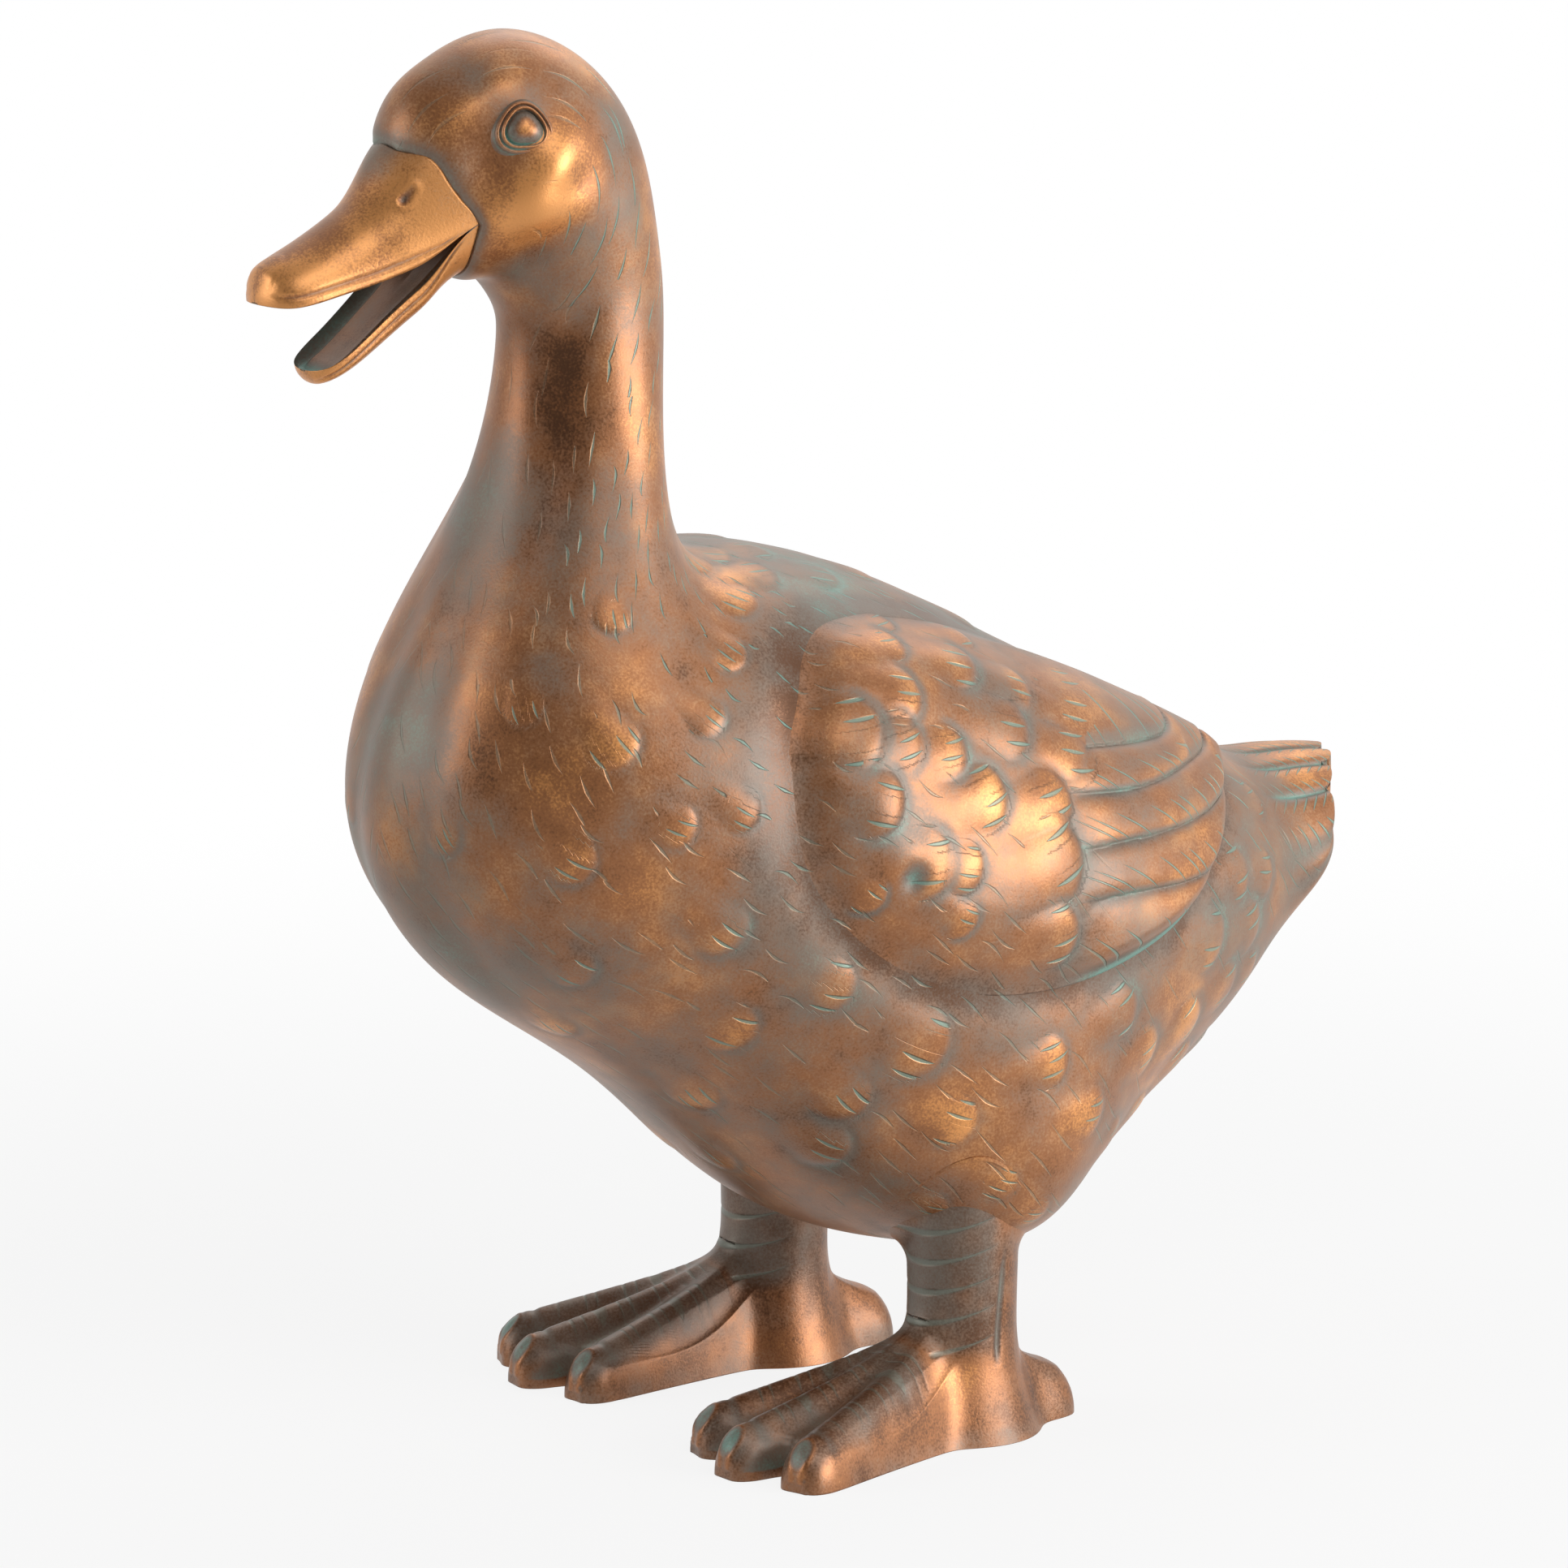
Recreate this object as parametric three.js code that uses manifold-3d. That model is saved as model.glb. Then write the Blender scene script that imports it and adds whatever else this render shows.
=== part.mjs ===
// Standing duck figurine: hollow castings over a steel rod in each leg, bolted through the belly.
// Millimetres, +Z up. The bill points along -Y and the duck's own left is +X.
// "Fore" is the distance towards the bill, so a point's y is minus its fore.

import * as THREE from "three";
import { mergeVertices } from "three/addons/utils/BufferGeometryUtils.js";
import Module from "manifold-3d";

const wasm = await Module();
wasm.setup();

// Walls, joints and clearances
const WALL = 6; // wall of the hollow castings
const JOINT_GAP = 0.3; // glue line between two castings
const ROD_CLEARANCE = 0.3; // between a leg rod and each bore that it passes
const SLEEVE_WALL = 3; // wall of the joining sleeves in the neck
const SLEEVE_REACH = 0.45; // how far a sleeve reaches each side of its joint, in stations
const SPIGOT_REACH = 0.5; // how far the tail's spigot reaches into the body, in stations
const SPIGOT_ROOT = 0.3; // and how far back it starts inside the tail

// Main sizes, which the rows below are measured from
const TAIL_TIP = -204; // fore of the tail's end
const HEAD_FORE = 98; // fore of the crown
const BELLY = 53; // height of the belly's lowest place above the soles
const NECK_ROOT = 187; // from there up to the front of the neck's root
const NECK_LENGTH = 126; // and from the root up to the chin
const CHIN = BELLY + NECK_ROOT + NECK_LENGTH;
const TAIL_HALF = 27; // half widths of the tail's end, the body and the head
const BODY_HALF = 87;
const HEAD_HALF = 31;

// Body, neck and head: one row for each section, from the tail's tip to the bill's root. A section is an
// oval across the middle plane. Its upper and lower ends are given by fore and height, then its half width,
// how far down the widest place is (0 to 1), how square its sides are (1 is an ellipse), and how far its
// sides droop. Fore, height and half width are given as differences from the group's main sizes.
const TAIL_ROWS = [
  { upper: [0, 135], lower: [0, 130], half: 0, widest: 0.5, square: 0.9, droop: 14 },
  { upper: [7, 136], lower: [8, 121], half: 3, widest: 0.5, square: 0.9, droop: 15 },
  { upper: [21, 137], lower: [20, 99], half: 7, widest: 0.5, square: 0.92, droop: 11 },
  { upper: [38, 138], lower: [36, 75], half: 12, widest: 0.47, square: 0.95, droop: 5 },
];
const BODY_ROWS = [
  { upper: [-146, 146], lower: [-150, 53], half: -38, widest: 0.46, square: 0.95, droop: 0 },
  { upper: [-118, 160], lower: [-122, 34], half: -24, widest: 0.46, square: 0.93, droop: 0 },
  { upper: [-78, 182], lower: [-86, 13], half: -9, widest: 0.47, square: 0.92, droop: 0 },
  { upper: [-32, 207], lower: [-42, 0], half: 0, widest: 0.48, square: 0.92, droop: 0 },
  { upper: [8, 221.5], lower: [12, 14], half: 0, widest: 0.48, square: 0.93, droop: 0 },
  { upper: [32, 225.5], lower: [64, 58], half: -5, widest: 0.48, square: 0.95, droop: 0 },
  { upper: [45, 228], lower: [115, 94], half: -13, widest: 0.49, square: 0.97, droop: 0 },
  { upper: [51, 238], lower: [144, 136], half: -25, widest: 0.5, square: 1, droop: 0 },
  { upper: [51.5, 259], lower: [138, NECK_ROOT], half: -41, widest: 0.5, square: 1, droop: 0 },
];
const HEAD_ROWS = [
  { upper: [-48.5, -29], lower: [12.5, -71], half: 1, widest: 0.5, square: 1, droop: 0 },
  { upper: [-50, -7], lower: [1.5, -25], half: -5.5, widest: 0.5, square: 1, droop: 0 },
  { upper: [-47, 15], lower: [3, -10], half: -5, widest: 0.47, square: 1, droop: 0 },
  { upper: [-39.5, 42], lower: [7, -4], half: -2, widest: 0.46, square: 0.97, droop: 0 },
  { upper: [-23.5, 64], lower: [10, -1], half: 0, widest: 0.47, square: 0.95, droop: 0 },
  { upper: [0, 74], lower: [13, 0], half: 0, widest: 0.5, square: 0.95, droop: 0 },
  { upper: [22, 68.5], lower: [17, 0], half: -3.5, widest: 0.54, square: 0.95, droop: 0 },
  { upper: [37, 58.5], lower: [20.5, 0.5], half: -7.5, widest: 0.58, square: 0.92, droop: 0 },
  { upper: [44, 44], lower: [23.5, 1.5], half: -11.5, widest: 0.6, square: 0.9, droop: 0 },
];
const placed = (rows, fore, z, half) =>
  rows.map((row) => ({
    ...row,
    upper: [row.upper[0] + fore, row.upper[1] + z],
    lower: [row.lower[0] + fore, row.lower[1] + z],
    half: row.half + half,
  }));
const STATIONS = [
  ...placed(TAIL_ROWS, TAIL_TIP, BELLY, TAIL_HALF),
  ...placed(BODY_ROWS, 0, BELLY, BODY_HALF),
  ...placed(HEAD_ROWS, HEAD_FORE, CHIN, HEAD_HALF),
];
const TAIL_JOINT = 3.6; // stations where one casting ends and the next begins
const NECK_JOINT = 12;
const HEAD_JOINT = 14.7;
const MUZZLE = STATIONS.length - 1;
const MUZZLE_WALL = 1; // solid part of the head behind the bill, in stations

// Tail fan
const TAIL_FEATHERS = 7; // rounded feather ends across the fan
const TAIL_SCALLOP = 6; // how deep the notches between them are
const TAIL_ROUND = 24; // how far the fan's sides stand in front of its middle
const TAIL_CUT = 2.4; // how far up the tail both reach, in stations

// Wings: the upper and lower edges, from the front to the tip, as a station and an angle round the section,
// in degrees from the back
const WING_UPPER = [[9.15, 66], [8.7, 40], [7.9, 28], [6.9, 21], [5.9, 16], [5.0, 15], [4.4, 30]];
const WING_LOWER = [[9.18, 71], [8.88, 94], [8.1, 101], [7.0, 99], [6.0, 93], [5.15, 79], [4.35, 46]];
const WING_EDGE = 2; // thickness at the rim
const WING_RISE = 6; // further thickness in the middle
const WING_SKEW = 1.25; // how far the thick part lies towards the lower edge (1 is the middle)
const WING_ROOT = 3; // depth of the raw panel below the skin, before the skin cuts it
const COVERT_STEP = 3; // how far the short feathers stand above the long ones
const COVERT_END = 0.52; // where they end, along the wing
const PRIMARY_COUNT = 5; // long feathers
const PRIMARY_STEP = 2.4; // each overlaps the next by this much
const PEG_RADIUS = 3; // locating pegs on the back of a wing
const PEG_REACH = 9; // depth of a peg below the skin
const PEGS = [[8.2, 66], [6.2, 55]]; // station and angle of each peg

// Bill halves: one row for each section, from the root to the tip, measured from the crown's fore and
// the chin's height
const onHead = (rows) =>
  rows.map((row) => ({
    ...row,
    ridge: [row.ridge[0] + HEAD_FORE, row.ridge[1] + CHIN],
    edge: [row.edge[0] + HEAD_FORE, row.edge[1] + CHIN],
  }));
const UPPER_BILL = onHead([
  { ridge: [34, 46], edge: [8, 25], half: 22 },
  { ridge: [43.5, 37.5], edge: [23, 17], half: 21 },
  { ridge: [52.5, 28], edge: [37, 10.5], half: 18.5 },
  { ridge: [62.5, 21], edge: [52, 5], half: 16.5 },
  { ridge: [73.5, 15], edge: [68, 1], half: 15.5 },
  { ridge: [82.5, 10.5], edge: [80.5, -1.5], half: 12.5 },
  { ridge: [88, 5], edge: [87.5, -1], half: 7 },
]);
const LOWER_BILL = onHead([
  { ridge: [8, 24], edge: [8, 8], half: 20 },
  { ridge: [23, 16], edge: [21.5, 3.5], half: 19 },
  { ridge: [35, 5.5], edge: [33, -5.5], half: 16.5 },
  { ridge: [47, -4.5], edge: [45, -14.5], half: 14 },
  { ridge: [58, -13.5], edge: [56, -22], half: 13 },
  { ridge: [67, -20.5], edge: [65.5, -26], half: 10.5 },
  { ridge: [71.5, -24], edge: [71, -26], half: 6 },
]);
const BILL_SQUARE = 0.85; // how square the sections are (1 is an ellipse)
const PALATE = 2.5; // hollow under the upper bill
const TROUGH = 4; // hollow in the lower bill
const TENON_SHARE = 0.45; // tenon's size against the bill in front of the head
const TENON_REACH = 4; // length of a tenon beyond the bill's root

// Eyes
const EYE_STATION = 18.42;
const EYE_ANGLE = 70;
const EYE_RADIUS = 8.4; // rim of the lids
const EYE_DOME = 3.4; // height of the eyeball above the cheek
const LID_WIDTH = 3;
const LID_HEIGHT = 2;
const EYE_STEM_RADIUS = 4;
const EYE_STEM = 5; // depth of the stem in the head's wall

// Legs and feet
const LEG_FORE = -31; // axis of each leg
const LEG_X = BODY_HALF - 33;
const LEG_RADIUS = 15.5; // at the ankle
const LEG_TAPER = 2; // how much wider the shank is where it meets the belly
const SHANK_TOP = BELLY + 11; // height of that place
const LEG_TOP = BELLY + 27; // raw height, before the belly cuts it
const ANKLE_SPREAD = 6; // growth of the radius at the sole
const ANKLE_HEIGHT = 28; // height where that begins
// Middle of the belly's bulge over each leg
const THIGH = { x: LEG_X + 8, fore: LEG_FORE - 14, z: BELLY + 29 };
const THIGH_SWELL = 18; // height of the bulge
const THIGH_SPREAD = 36;
const TOE_SPLAY = 5; // outward turn of each foot, in degrees
const TOES = [
  { angle: -17, reach: 88, width: 18, height: 14 },
  { angle: 0, reach: 93, width: 18, height: 14 },
  { angle: 17, reach: 89, width: 19, height: 14 },
];
const TOE_ROOT = 35; // height of the toes at the leg's axis
const TOE_END = 0.4; // size of a toe's blunt end against the toe
const TOE_SQUARE = 0.7; // how square a toe's section is (1 is an ellipse)
const HIND_TOE = { angle: 180, reach: 40, width: 22, height: 15 };
const HIND_ROOT = 24;
const WEB_DROP = 6; // how far the web lies below the toes
const WEB_ROOT = 0.1; // where it starts inside the leg, as a share of the toes' reach
const WEB_REACH = 0.9; // where the web's front edge leaves a toe, as a share of its reach
const WEB_BAY = 0.8; // and how far forward it comes between two toes

// Leg rods and their fixings inside the body
const ROD_RADIUS = 4;
const ROD_FOOT = 10; // height of the rod's lower end above the sole
const ROD_SPARE = 4; // rod left above the nut
const BOSS_RADIUS = 13;
const BOSS_TOP = BELLY + 47;
const TIE_THICKNESS = 4;
const TIE_WIDTH = 26;
const WASHER_RADIUS = 10;
const WASHER_THICKNESS = 2;
const NUT_RADIUS = 7.5; // across the corners, halved
const NUT_HEIGHT = 6.5;

// Facets
const ROWS_PER_STATION = 2;
const HALF_COLUMNS = 12; // round half a section
const COLUMNS_PER_FEATHER = 4; // across each feather of the tail
const WING_ROWS = 20;
const WING_COLUMNS = 2 * PRIMARY_COUNT;
const BILL_COLUMNS = 8;
const TOE_COLUMNS = 8;
const LEG_SIDES = 20;
const LEG_ROWS = 12;
const EYE_SIDES = 16;
const PIN_SIDES = 12;

// Finishes
const BRONZE = new THREE.MeshStandardMaterial({ color: 0x8a5a36, roughness: 0.42, metalness: 0.75 });
const DARK_BRONZE = new THREE.MeshStandardMaterial({ color: 0x6b452b, roughness: 0.45, metalness: 0.75 });
const BARE_RESIN = new THREE.MeshStandardMaterial({ color: 0xb9b2a4, roughness: 0.85, metalness: 0 });
const ZINC_STEEL = new THREE.MeshStandardMaterial({ color: 0xa9adb0, roughness: 0.4, metalness: 1 });

const BILL_TIP = UPPER_BILL.at(-1).ridge[0];
const figure = new THREE.Group();
figure.position.y = (BILL_TIP + TAIL_TIP) / 2; // the middle of the length stands over the origin

// A smooth curve through rows of numbers, one unit of t apart, with no bending at its ends
function curveThrough(rows) {
  const last = rows.length - 1;
  const bend = rows.map((row) => row.map(() => 0));
  rows[0].forEach((_, k) => {
    const share = [0];
    const pull = [0];
    for (let i = 1; i < last; i++) {
      const pivot = 4 - share[i - 1];
      const second = 6 * (rows[i + 1][k] - 2 * rows[i][k] + rows[i - 1][k]);
      share[i] = 1 / pivot;
      pull[i] = (second - pull[i - 1]) / pivot;
    }
    for (let i = last - 1; i > 0; i--) bend[i][k] = pull[i] - share[i] * bend[i + 1][k];
  });
  return (t) => {
    const i = Math.min(Math.max(Math.floor(t), 0), last - 1);
    const a = t - i;
    const b = 1 - a;
    return rows[i].map(
      (start, k) =>
        b * start + a * rows[i + 1][k] + ((b ** 3 - b) * bend[i][k] + (a ** 3 - a) * bend[i + 1][k]) / 6,
    );
  };
}

const stationAt = curveThrough(
  STATIONS.map((s) => [...s.upper, ...s.lower, s.half, s.widest, s.square, s.droop]),
);

// A point of the section at t, at an angle from the back towards the duck's left, with the oval grown by out
function sectionPoint(t, angle, out) {
  const [upperFore, upperZ, lowerFore, lowerZ, half, widest, square, droop] = stationAt(t);
  const foreSpan = lowerFore - upperFore;
  const zSpan = lowerZ - upperZ;
  const grow = out / Math.hypot(foreSpan, zSpan);
  const sine = Math.sin(angle);
  const down = (1 - Math.cos(angle)) / 2 + (widest - 0.5) * sine ** 2;
  const share = down * (1 + 2 * grow) - grow;
  const side = Math.sign(sine) * Math.abs(sine) ** square;
  return new THREE.Vector3(
    (half + out) * side,
    -(upperFore + foreSpan * share),
    upperZ + zSpan * share - droop * side ** 2,
  );
}

// The skin: a section point, swollen over each leg
function skin(t, angle, out = 0) {
  const p = sectionPoint(t, angle, 0);
  const reach = Math.hypot(Math.abs(p.x) - THIGH.x, p.y + THIGH.fore, p.z - THIGH.z);
  return sectionPoint(t, angle, out + THIGH_SWELL * Math.exp(-((reach / THIGH_SPREAD) ** 2)));
}

// The direction from a section's plane towards the head
function sectionNormal(t) {
  const [upperFore, upperZ, lowerFore, lowerZ] = stationAt(t);
  return new THREE.Vector3(0, lowerZ - upperZ, lowerFore - upperFore).normalize();
}

function steps(from, to, count) {
  return Array.from({ length: count + 1 }, (_, i) => from + ((to - from) * i) / count);
}

function stationSteps(from, to) {
  return steps(from, to, Math.max(2, Math.round((to - from) * ROWS_PER_STATION)));
}

const halfAngles = steps(0, Math.PI, HALF_COLUMNS);
const wholeAngles = steps(0, 2 * Math.PI, 2 * HALF_COLUMNS).slice(0, -1);

// Closed rings of the skin at each t
function skinRings(ts, out) {
  return ts.map((t) => wholeAngles.map((angle) => skin(t, angle, out)));
}

// Moves a ring along its section's normal
function shifted(ring, t, distance) {
  const step = sectionNormal(t).multiplyScalar(distance);
  return ring.map((p) => p.clone().add(step));
}

// Triangles as a geometry whose faces point out
function geometryOf(points, triangles) {
  const geometry = new THREE.BufferGeometry().setFromPoints(points);
  let volume = 0;
  for (const [a, b, c] of triangles) volume += points[a].dot(points[b].clone().cross(points[c]));
  geometry.setIndex((volume < 0 ? triangles.map(([a, b, c]) => [a, c, b]) : triangles).flat());
  return geometry;
}

// Two triangles for each cell between rows of point numbers
function gridTriangles(rows, closed) {
  const triangles = [];
  for (let i = 0; i + 1 < rows.length; i++) {
    const width = rows[i].length;
    for (let j = 0; j < (closed ? width : width - 1); j++) {
      const k = (j + 1) % width;
      triangles.push([rows[i][j], rows[i + 1][j], rows[i + 1][k]], [rows[i][j], rows[i + 1][k], rows[i][k]]);
    }
  }
  return triangles;
}

function numbered(rows, first) {
  return rows.map((row, i) => row.map((_, j) => first + i * row.length + j));
}

// A solid skinned over closed rings, with a fan over each end
function loft(rings) {
  const points = rings.flat();
  const rows = numbered(rings, 0);
  const triangles = gridTriangles(rows, true);
  for (const [ring, flip] of [[0, false], [rings.length - 1, true]]) {
    const centre = points.length;
    const sum = rings[ring].reduce((total, p) => total.add(p), new THREE.Vector3());
    points.push(sum.divideScalar(rings[ring].length));
    rows[ring].forEach((a, j) => {
      const b = rows[ring][(j + 1) % rows[ring].length];
      triangles.push(flip ? [centre, b, a] : [centre, a, b]);
    });
  }
  return geometryOf(points, triangles);
}

// A wall between outer and inner rows, closed all round its border. Closed rows make a tube.
function wallBetween(outer, inner, closed) {
  const points = [...outer.flat(), ...inner.flat()];
  const outside = numbered(outer, 0);
  const inside = numbered(inner, outer.flat().length);
  const last = outer.length - 1;
  const triangles = [
    ...gridTriangles(outside, closed),
    ...gridTriangles(inside, closed).map(([a, b, c]) => [a, c, b]),
    ...gridTriangles([inside[0], outside[0]], closed),
    ...gridTriangles([outside[last], inside[last]], closed),
  ];
  if (!closed) {
    const column = (rows, j) => rows.map((row) => row.at(j));
    triangles.push(...gridTriangles([column(outside, 0), column(inside, 0)], false));
    triangles.push(...gridTriangles([column(inside, -1), column(outside, -1)], false));
  }
  return geometryOf(points, triangles);
}

// A geometry as a solid that can be cut and joined, and back
function solid(geometry) {
  const bare = geometry.index ? geometry.toNonIndexed() : geometry.clone();
  bare.deleteAttribute("normal");
  bare.deleteAttribute("uv");
  const merged = mergeVertices(bare, 1e-4);
  const triVerts = new Uint32Array(merged.index.array);
  return new wasm.Manifold(
    new wasm.Mesh({ numProp: 3, vertProperties: merged.attributes.position.array, triVerts }),
  );
}

function geometryFrom(body) {
  const mesh = body.getMesh();
  const geometry = new THREE.BufferGeometry();
  geometry.setAttribute("position", new THREE.BufferAttribute(mesh.vertProperties, 3));
  geometry.setIndex(new THREE.BufferAttribute(mesh.triVerts, 1));
  return geometry;
}

function cylinder(radius, from, to, sides) {
  const length = from.distanceTo(to);
  const turn = new THREE.Quaternion().setFromUnitVectors(
    new THREE.Vector3(0, 1, 0),
    to.clone().sub(from).divideScalar(length),
  );
  const middle = from.clone().add(to).multiplyScalar(0.5);
  const upright = new THREE.CylinderGeometry(radius, radius, length, sides);
  return upright.applyQuaternion(turn).translate(...middle);
}

function addPiece(name, geometry, material) {
  const mesh = new THREE.Mesh(geometry, material);
  mesh.name = name;
  figure.add(mesh);
}

function mirrored(geometry) {
  const copy = geometry.index ? geometry.toNonIndexed() : geometry.clone();
  copy.scale(-1, 1, 1);
  const position = copy.attributes.position;
  for (let i = 0; i < position.count; i += 3) {
    const swap = new THREE.Vector3().fromBufferAttribute(position, i + 1);
    const other = new THREE.Vector3().fromBufferAttribute(position, i + 2);
    position.setXYZ(i + 1, ...other);
    position.setXYZ(i + 2, ...swap);
  }
  return copy;
}

// The piece is modelled on the duck's left, and its mirror image stands on the right
function addPair(name, geometry, material) {
  addPiece(`${name}_left`, geometry, material);
  addPiece(`${name}_right`, mirrored(geometry), material);
}

const legPoint = (z) => new THREE.Vector3(LEG_X, -LEG_FORE, z);
const foreAndHeight = ([fore, z]) => new THREE.Vector3(0, -fore, z);
const radians = THREE.MathUtils.degToRad;

// Steps shared by the castings and by all that is fitted to them, so that their facets match
const bodySteps = stationSteps(TAIL_JOINT, NECK_JOINT);
const neckSteps = stationSteps(NECK_JOINT, HEAD_JOINT);
const headSteps = stationSteps(HEAD_JOINT, MUZZLE);
const bodyGrown = solid(loft(skinRings(bodySteps, JOINT_GAP)));
const headGrownRings = skinRings(headSteps, JOINT_GAP);
headGrownRings.push(shifted(headGrownRings.at(-1), MUZZLE, JOINT_GAP));
const headGrown = solid(loft(headGrownRings));

// The room inside the castings, from the tail's joint to the middle of the head
const roomSteps = [
  TAIL_JOINT - SPIGOT_ROOT,
  ...bodySteps,
  ...neckSteps.slice(1),
  ...headSteps.slice(1, Math.ceil(headSteps.length / 2)),
];
const room = solid(loft(skinRings(roomSteps, -WALL - JOINT_GAP)));

// Body: left and right half shells that meet on the middle plane, with a boss over each leg
const tieTop = BOSS_TOP + JOINT_GAP + TIE_THICKNESS;
const washerTop = tieTop + JOINT_GAP + WASHER_THICKNESS;
const nutTop = washerTop + JOINT_GAP + NUT_HEIGHT;
const boreFoot = legPoint(ROD_FOOT - ROD_CLEARANCE);
const rodBore = solid(cylinder(ROD_RADIUS + ROD_CLEARANCE, boreFoot, legPoint(nutTop), LEG_SIDES));

function pegs(clearance) {
  const inward = new THREE.Vector3(-1, 0, 0);
  return PEGS.map(([t, degrees]) => {
    const seat = skin(t, radians(degrees));
    const from = seat.clone().addScaledVector(inward, -WING_EDGE);
    const to = seat.clone().addScaledVector(inward, PEG_REACH + clearance);
    return solid(cylinder(PEG_RADIUS + clearance, from, to, PIN_SIDES));
  });
}

function bodyHalf() {
  const rows = (out) =>
    bodySteps.map((t) =>
      halfAngles.map((angle) => {
        const p = skin(t, angle, out);
        return p.setX(Math.max(p.x, JOINT_GAP / 2));
      }),
    );
  const shell = solid(wallBetween(rows(0), rows(-WALL), false));
  const midWall = solid(loft(skinRings(bodySteps, -WALL / 2)));
  const boss = solid(cylinder(BOSS_RADIUS, legPoint(0), legPoint(BOSS_TOP), LEG_SIDES)).intersect(midWall);
  return pegs(JOINT_GAP).reduce((half, hole) => half.subtract(hole), shell.add(boss).subtract(rodBore));
}
addPair("body", geometryFrom(bodyHalf()), BRONZE);

// Neck: a tube between the body's collar and the head
function tubeRings(ts, out) {
  const rings = skinRings(ts, out);
  return [shifted(rings[0], ts[0], JOINT_GAP), ...rings.slice(1)];
}
addPiece("neck", wallBetween(tubeRings(neckSteps, 0), tubeRings(neckSteps, -WALL), true), BRONZE);

// Sleeves glued inside the neck's two joints, trimmed to the room there
function sleeve(joint) {
  const ts = stationSteps(joint - SLEEVE_REACH, joint + SLEEVE_REACH);
  const ring = wallBetween(skinRings(ts, 0), skinRings(ts, -WALL - JOINT_GAP - SLEEVE_WALL), true);
  return geometryFrom(solid(ring).intersect(room));
}
addPiece("neck_sleeve", sleeve(NECK_JOINT), BARE_RESIN);
addPiece("head_sleeve", sleeve(HEAD_JOINT), BARE_RESIN);

// Tail: a drooping fan with rounded feather ends and a spigot that plugs the body
const topAngles = steps(-1, 1, TAIL_FEATHERS * COLUMNS_PER_FEATHER).map(Math.asin);
const underAngles = topAngles.slice(1, -1).map((angle) => Math.PI - angle);
const tailAngles = [...topAngles, ...underAngles].sort((a, b) => a - b);

function tailRing(t) {
  const nearTip = Math.max(0, 1 - t / TAIL_CUT) ** 2;
  return tailAngles.map((angle) => {
    const across = Math.sin(angle);
    const inFeather = THREE.MathUtils.euclideanModulo((across + 1) * 0.5 * TAIL_FEATHERS, 1) - 0.5;
    const p = skin(t, angle);
    p.y -= nearTip * (TAIL_SCALLOP * (2 * inFeather) ** 2 + TAIL_ROUND * across ** 2);
    return p;
  });
}
const tailSteps = stationSteps(0, TAIL_JOINT);
const tailRings = tailSteps.map(tailRing);
tailRings.push(shifted(tailRings.pop(), TAIL_JOINT, -JOINT_GAP));
const spigot = solid(loft(skinRings(stationSteps(TAIL_JOINT - SPIGOT_ROOT, TAIL_JOINT + SPIGOT_REACH), 0)));
addPiece("tail", geometryFrom(solid(loft(tailRings)).add(spigot.intersect(room))), BRONZE);

// Bill halves: an arched upper one, hollow below, and a troughed lower one
function billRings(rows, arched, hollow) {
  const crown = steps(0, Math.PI, BILL_COLUMNS);
  const hollowed = steps(Math.PI, 2 * Math.PI, BILL_COLUMNS).slice(1, -1);
  return rows.map(({ ridge, edge, half }) => {
    const top = foreAndHeight(ridge);
    const bottom = foreAndHeight(edge);
    const depth = Math.min(hollow, top.distanceTo(bottom) / 2) / top.distanceTo(bottom);
    return [...crown, ...hollowed].map((angle) => {
      const bulge = Math.abs(Math.sin(angle)) ** BILL_SQUARE;
      const share = angle > Math.PI ? depth * bulge : bulge;
      const p = arched ? bottom.clone().lerp(top, share) : top.clone().lerp(bottom, share);
      return p.setX(half * Math.cos(angle));
    });
  });
}

// A bill's tenon: an oval peg that starts in the bill, outside the head, and runs back past the bill's root
function tenon(rows, clearance) {
  const [root, start] = [rows[0], rows[2]].map(({ ridge, edge }) =>
    foreAndHeight(ridge).lerp(foreAndHeight(edge), 0.5),
  );
  const { ridge, edge, half } = rows[2];
  const rise = foreAndHeight(ridge).sub(foreAndHeight(edge));
  const tall = (rise.length() / 2) * TENON_SHARE + clearance;
  const wide = half * TENON_SHARE + clearance;
  const back = root.clone().sub(start);
  const reach = back.length() + TENON_REACH + clearance;
  rise.normalize();
  back.normalize();
  const oval = (centre) =>
    wholeAngles.map((a) =>
      centre.clone().addScaledVector(rise, tall * Math.sin(a)).setX(wide * Math.cos(a)),
    );
  return solid(loft([oval(start.clone().addScaledVector(back, reach)), oval(start)]));
}

for (const [name, rows, rings] of [
  ["upper_bill", UPPER_BILL, billRings(UPPER_BILL, true, PALATE)],
  ["lower_bill", LOWER_BILL, billRings(LOWER_BILL, false, TROUGH)],
]) {
  addPiece(name, geometryFrom(solid(loft(rings)).subtract(headGrown).add(tenon(rows, 0))), BRONZE);
}

// Eyes: a domed eyeball in its ring of lids, on a stem
const eyeSeat = skin(EYE_STATION, radians(EYE_ANGLE));
const eyeOut = skin(EYE_STATION, radians(EYE_ANGLE) + 0.01)
  .sub(eyeSeat)
  .cross(skin(EYE_STATION + 0.01, radians(EYE_ANGLE)).sub(eyeSeat))
  .normalize();
const eyeTurn = new THREE.Quaternion().setFromUnitVectors(new THREE.Vector3(0, 1, 0), eyeOut);
const eyePoint = (height) => eyeSeat.clone().addScaledVector(eyeOut, height);

function eyeStem(clearance) {
  const foot = eyePoint(-EYE_STEM - clearance);
  return solid(cylinder(EYE_STEM_RADIUS + clearance, foot, eyePoint(LID_HEIGHT), PIN_SIDES));
}

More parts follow.
